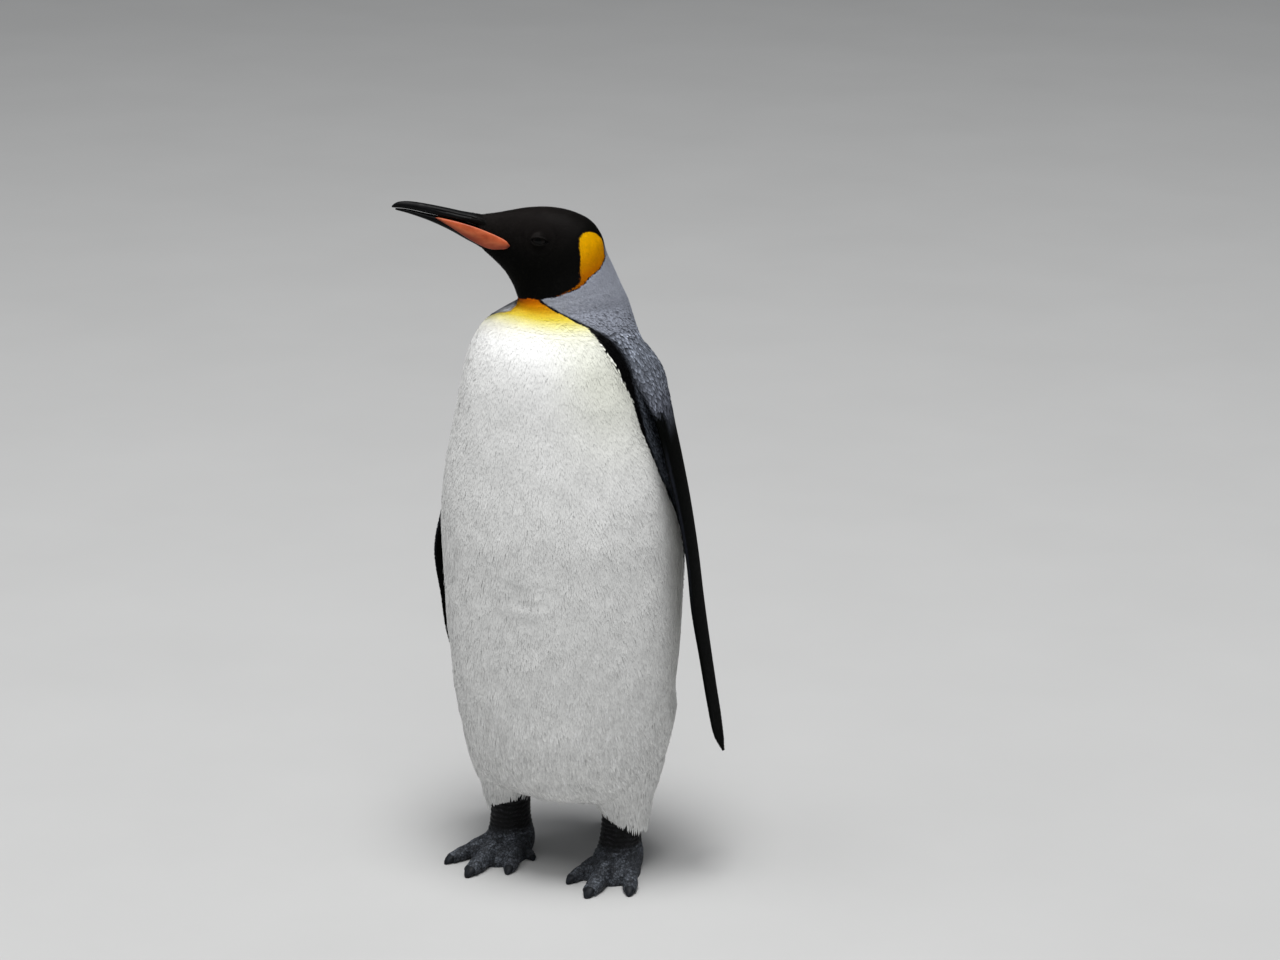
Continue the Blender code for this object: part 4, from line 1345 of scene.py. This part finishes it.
def lay_bill_base():
    """Short feathers that run out over the root of the bill, furthest just above the gape."""
    coat = Coat("coat_bill_root")
    sheet = upper_bill_sheet()
    at = spots_over(sheet, 1.5, 1.1, 8, sheet.rows * 0.36)
    forward, rise = at.points @ AHEAD, np.sin(at.turn)  # rise is 1 on the culmen and -1 at the gape
    reach = 100 + 17 * hill(rise, -0.3, 0.5) + at.jitter(1.6)
    pick = (forward < reach) & (forward > 86) & (rise > -0.97)
    at, near_end = at.where(pick), ease(reach - forward, 0, 12)[pick]
    colour = linear(17, 15, 14) * feather_shade(at, 0.08)
    coat.lay(at, -1, 2.2 + 1.6 * near_end, 0.34 + 0.16 * near_end, colour * 0.9, tip=colour * 1.15,
             root=-0.15, top=0.35 + 0.3 * near_end, thick=0.16, shape=SMALL_VANE,
             map_at=(0.0, 0.5))  # fmt: skip
    sheet = lower_bill_sheet()
    at = spots_over(sheet, 1.6, 1.2, 0, sheet.rows * 0.40)
    at = at.where((np.sin(at.turn) < -0.45) & (at.points @ AHEAD < 97 + at.jitter(2)))
    colour = linear(9, 8, 8) * feather_shade(at, 0.08)
    coat.lay(at, -1, 3.4, 0.5, colour * 0.9, tip=colour * 1.15, root=-0.15, top=0.45, thick=0.16,
             shape=SMALL_VANE, map_at=(0.5, 0.5))  # fmt: skip
    coat.build(HOOD_PLUMAGE)


def lay_flipper(side):
    coat, sheet = Coat(f"coat_flipper_{side}"), flippers[side]
    at = spots_over(sheet, 2.4, 1.6, 0, sheet.rows - 1.5)
    at = at.where(at.chance() < 1 - 0.62 * ease(at.points[:, 2], *FLIPPER_ROOT)).clear_of([body])
    high_up = ease(at.points[:, 2], *FLIPPER_ROOT)
    length = 4.8 - 1.6 * ease(at.along, 0.6, 1.0) + 3.6 * high_up + at.jitter(0.3)
    shade = np.exp(at.jitter() * (0.1 + 0.22 * high_up)) * mottle(at.points, 101, 12, 0.1)
    colour, grey = flipper_colour(at) * shade[:, None], high_up[:, None]
    half, lean = 0.95 - 0.35 * ease(at.along, 0.8, 1) + 0.75 * high_up, -np.sin(at.turn) * 0.22
    # On the shoulder each vane is darker at its root and paler at its tip: partly its own, partly painted
    # highlight.
    coat.lay(at, 1, length, half, colour * (0.92 - 0.5 * grey), tip=colour * (1.15 + 0.5 * grey), root=-0.25,
             top=0.5 + 0.5 * high_up, thick=0.24, lean=lean + at.jitter(0.05), shape=SMALL_VANE, bulge=0.3,
             tilt=0.5)  # fmt: skip
    coat.build(DARK_PLUMAGE)


def lay_legs():
    coat = Coat("coat_legs")
    for k, sheet in enumerate(legs.values()):
        at = spots_over(sheet, 3.6, 1.9, 0, sheet.rows - 1.2).clear_of([body], 2.0)
        points, hem, beside = at.points, at.along, np.cos(at.turn)
        # The hem is ragged, and hangs lower inside and outside than in front.
        past = 4.5 + 7.5 * np.abs(beside) ** 1.5 + at.jitter(2.0) + 2.0 * cloud(points, 5, 109)
        left_to_hem = (sheet.rows - 1 - at.u) * sheet.read(sheet.down_speed, at.u, at.v)[:, 0]
        length = np.maximum(np.minimum(15 + at.jitter(1.8), left_to_hem + np.maximum(past, 2)), 3.5)
        bristle = (at.chance() < 0.4 * ease(-sheet.sign * beside, 0.0, 0.7)) & (hem > 0.84)
        colour = np.where(bristle[:, None], linear(22, 22, 24), leg_colour(at))
        colour = colour * feather_shade(at, 0.06) * mottle(points, 103, 12, 0.05)[:, None]
        lean = 0.2 * cloud(points, 13, 105) + at.jitter(0.09)
        top = 1.6 + 0.7 * cloud(points, 10, 107) - 1.0 * ease(hem, 0.7, 1.0)
        coat.lay(at, 1, length, 0.95, colour, top=top, lean=lean, map_at=(0.5 * k, 0.5),
                 shape=((0.4, 1.0), (0.78, 0.6)), bulge=0.18, tilt=0.3)  # fmt: skip
    coat.build(PLUMAGE)


def lay_tail():
    """Stiff black tail feathers side by side, in two layers, each one blade with a raised shaft."""
    coat = Coat("coat_tail")
    at = spots_over(tail, 3.0, 2.2, 0, tail.rows * 0.62).clear_of([body], 1.5)
    colour = linear(30, 31, 35) * feather_shade(at, 0.12)
    coat.lay(at, 1, 14 + at.jitter(), 1.2, colour * 0.8, tip=colour * 1.3, top=0.8, lean=at.jitter(0.06))
    for face, count, start in ((1, 9, 0.30), (-1, 8, 0.34)):
        for k in range(count):
            share = (k + 0.5) / count * 2 - 1
            column = (face / 4 - share * 74 / 360) * tail.columns % tail.columns
            at = Spots(tail, np.array([start * (tail.rows - 1)]), np.array([column]))
            shade = linear(26, 27, 31)[None] * (1 + DRAWS.normal(0, 0.1))
            coat.lay(at, 1, 78 * (1 - 0.10 * share * share), 3.3, shade, tip=shade * 0.85, root=0.2, top=0.5,
                     thick=0.9, shape=((0.3, 1.0), (0.9, 0.8)), bulge=0.5, tilt=0.2)  # fmt: skip
    coat.build(DARK_PLUMAGE)


for name, low, high in (("a", 0.0, 5.6), ("b", 5.6, 7.9), ("c", 7.9, 10.1), ("d", 10.1, 14.6)):
    front, back = Coat(f"coat_front_{name}"), Coat(f"coat_back_{name}")
    lay_front(front, low, high)
    lay_back(back, low, high)
    front.build(PLUMAGE)
    back.build(DARK_PLUMAGE)
lay_neck("coat_neck", 14.6, 16.3, 2.7, 1.9, 1.0)
lay_neck("coat_neck_mid", 16.1, 17.5, 2.1, 1.45, 0.8)
lay_neck("coat_neck_top", 17.3, 19.9, 1.5, 1.0, 0.55)
lay_head()
lay_bill_base()
for side in SIDES:
    lay_flipper(side)
lay_legs()
lay_tail()


# ---- bill, plates, eyes, claws
def solid(name, sheet, colours, look):
    """A sheet closed at both ends, with a colour for each of its grid's points."""
    mesh = raw_mesh(name, *sheet.closed)
    colours = np.broadcast_to(colours, sheet.grid.shape).reshape(-1, 3)
    paint(mesh, np.concatenate([colours, colours[:1], colours[-1:]]))
    mesh.set_sharp_from_angle(angle=math.radians(50))
    return link(name, mesh, [look])


def bill_plate(side):
    """A plate along the lower bill: darker at its two ends, dark below and pale orange above, partly painted
    light.
    """
    forward, middle, tall, half = bill_rings(PLATE, 90)
    places = np.linspace(0, len(PLATE) - 1, 90)
    ends = np.sqrt(np.clip(np.minimum(places / 0.7, (len(PLATE) - 1 - places) / 0.5), 0.02, 1))[:, None]
    centre = middle + LEFT * SIDES[side] * (half - PLATE_DEPTH / 2)
    depth = np.tile(LEFT, (len(places), 1)) * PLATE_DEPTH / 2
    sheet = Sheet(ovals(centre, depth, UP * tall * ends, ring_turns(36), 2.4))
    edge = (sheet.grid[..., 2] - middle[:, 2:]) / np.maximum(tall, 0.1)
    # From below to above: partly the plate's own colour, partly painted light, lit on top and shaded beneath.
    tone = mix(np.array((0.55, 0.45, 0.5)), np.array((1.28, 1.75, 1.9)), ease(edge, -0.9, 1.0))
    tone = mix(tone * (0.42, 0.30, 0.30), tone, ease(forward, 60, 67) * fall(forward, 128, 143))
    return solid(f"bill_plate_{side}_horn", sheet, tone, CORAL)


def eye_ball(side):
    """The ball, with its pupil and iris looking out and a little ahead."""
    centre, out = eye_frame(SIDES[side])
    turns, tilts = ring_turns(40)[:, None], np.linspace(0.02, math.pi - 0.02, 30)[:, None, None]
    gaze = unit(out + AHEAD * 0.18)
    across = unit(np.cross(gaze, UP))
    ring = np.cos(turns) * across + np.sin(turns) * np.cross(across, gaze)
    sheet = Sheet(centre + (np.cos(tilts) * gaze + np.sin(tilts) * ring) * (EYE_RADIUS - 0.15))
    away = np.where(np.cos(tilts) > 0, np.sin(tilts) * EYE_RADIUS, EYE_RADIUS)[..., 0]
    iris = ((0, (2, 2, 2)), (3.6, (2, 2, 2)), (4.1, (17, 12, 9)), (6.4, (14, 10, 8)), (7.2, (5, 4, 4)))
    return solid(f"eye_{side}_ball", sheet, shades(away, iris), WET_EYE)


def claw(side, name):
    sheet = claw_sheet(side, TOES[name])
    sheet.grid[..., 2] = np.maximum(sheet.grid[..., 2], 0.1)
    tone = (0.8 + 0.5 * np.linspace(0, 1, sheet.rows))[:, None, None]
    return solid(f"claw_{name}_{side}_horn", sheet, tone, CLAW)


HORN = horn_material("bill_horn", (3, 3, 4), (9, 10, 12), 0.45)
CORAL = horn_material(
    "bill_plate_horn", (176, 74, 40), (206, 106, 66), 0.36, scale=120.0, depth=0.0002, gloss=0.25
)
CLAW = horn_material("claw_horn", (17, 18, 20), (44, 47, 52), 0.42, stretch=(1.0, 0.35, 0.8))
WET_EYE = eye_material()
upper = solid("bill_upper_horn", upper_bill_sheet(), np.ones(3), HORN)
lower = solid("bill_lower_horn", lower_bill_sheet(), np.ones(3) * 0.9, HORN)
plates = {side: bill_plate(side) for side in SIDES}
eyes = {side: eye_ball(side) for side in SIDES}
claws = {(toe, side): claw(side, toe) for side in SIDES for toe in TOES}

# ---- riding and replacing
ROOT = "root"
flesh = ["trunk", "neck", "head", "tail"]
for side in SIDES:
    flesh += [f"flipper_{side}", f"leg_{side}", f"foot_{side}"]
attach(skin, ROOT)
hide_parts(*flesh)
for name, piece in pieces.items():
    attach(piece, ROOT)
for piece, node, slot_name in (
    [(upper, "bill_upper", "bill_horn"), (lower, "bill_lower", "bill_horn")]
    + [(plates[side], f"bill_plate_{side}", "bill_plate") for side in SIDES]
    + [(eyes[side], f"eye_{side}", "eye") for side in SIDES]
    + [(piece, f"claw_{toe}_{side}", "claw") for (toe, side), piece in claws.items()]
):
    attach(piece, ROOT)
    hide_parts(node)

# ---- floor, light and camera
scene = bpy.context.scene
FLOOR = 16.0  # half its width, in metres
floor_mesh = bpy.data.meshes.new("floor")
corners = [(-FLOOR, -FLOOR, 0), (FLOOR, -FLOOR, 0), (FLOOR, FLOOR, 0), (-FLOOR, FLOOR, 0)]
floor_mesh.from_pydata(corners, [], [(0, 1, 2, 3)])
floor = link("floor", floor_mesh, [floor_material()])


def area_light(name, place, power):
    """A soft round light, in metres and watts, aimed at the belly."""
    light = bpy.data.lights.new(name, "AREA")
    light.shape = "DISK"
    light.size = 3.6
    light.energy = power
    obj = bpy.data.objects.new(name, light)
    scene.collection.objects.link(obj)
    obj.location = place
    obj.rotation_euler = (Vector((0, 0, 0.42)) - obj.location).to_track_quat("-Z", "Y").to_euler()


area_light("key", (0.65, -1.13, 7.8), 520)
area_light("front", (2.15, -3.07, 6.9), 95)
area_light("side", (-2.65, -2.65, 6.9), 60)
world = bpy.data.worlds.new("studio")
world.use_nodes = True
sky = world.node_tree.nodes["Background"].inputs
sky["Color"].default_value = (0.93, 0.96, 1.0, 1)
sky["Strength"].default_value = 0.19
scene.world = world
scene.view_settings.view_transform = "Standard"
scene.view_settings.look = "None"

camera = bpy.data.objects.new("camera", bpy.data.cameras.new("camera"))
scene.collection.objects.link(camera)
camera.data.lens = 106.0855
camera.data.sensor_width = 36
camera.data.clip_end = 60
CAMERA_PLACE = np.array((2.135, -3.528, 1.684))  # from the axis between the ankles, in metres
TURN, DOWN = math.radians(30), math.radians(16.5)
camera.location = CAMERA_PLACE + AXIS
camera.rotation_euler = (math.pi / 2 - DOWN, 0, TURN)
scene.camera = camera
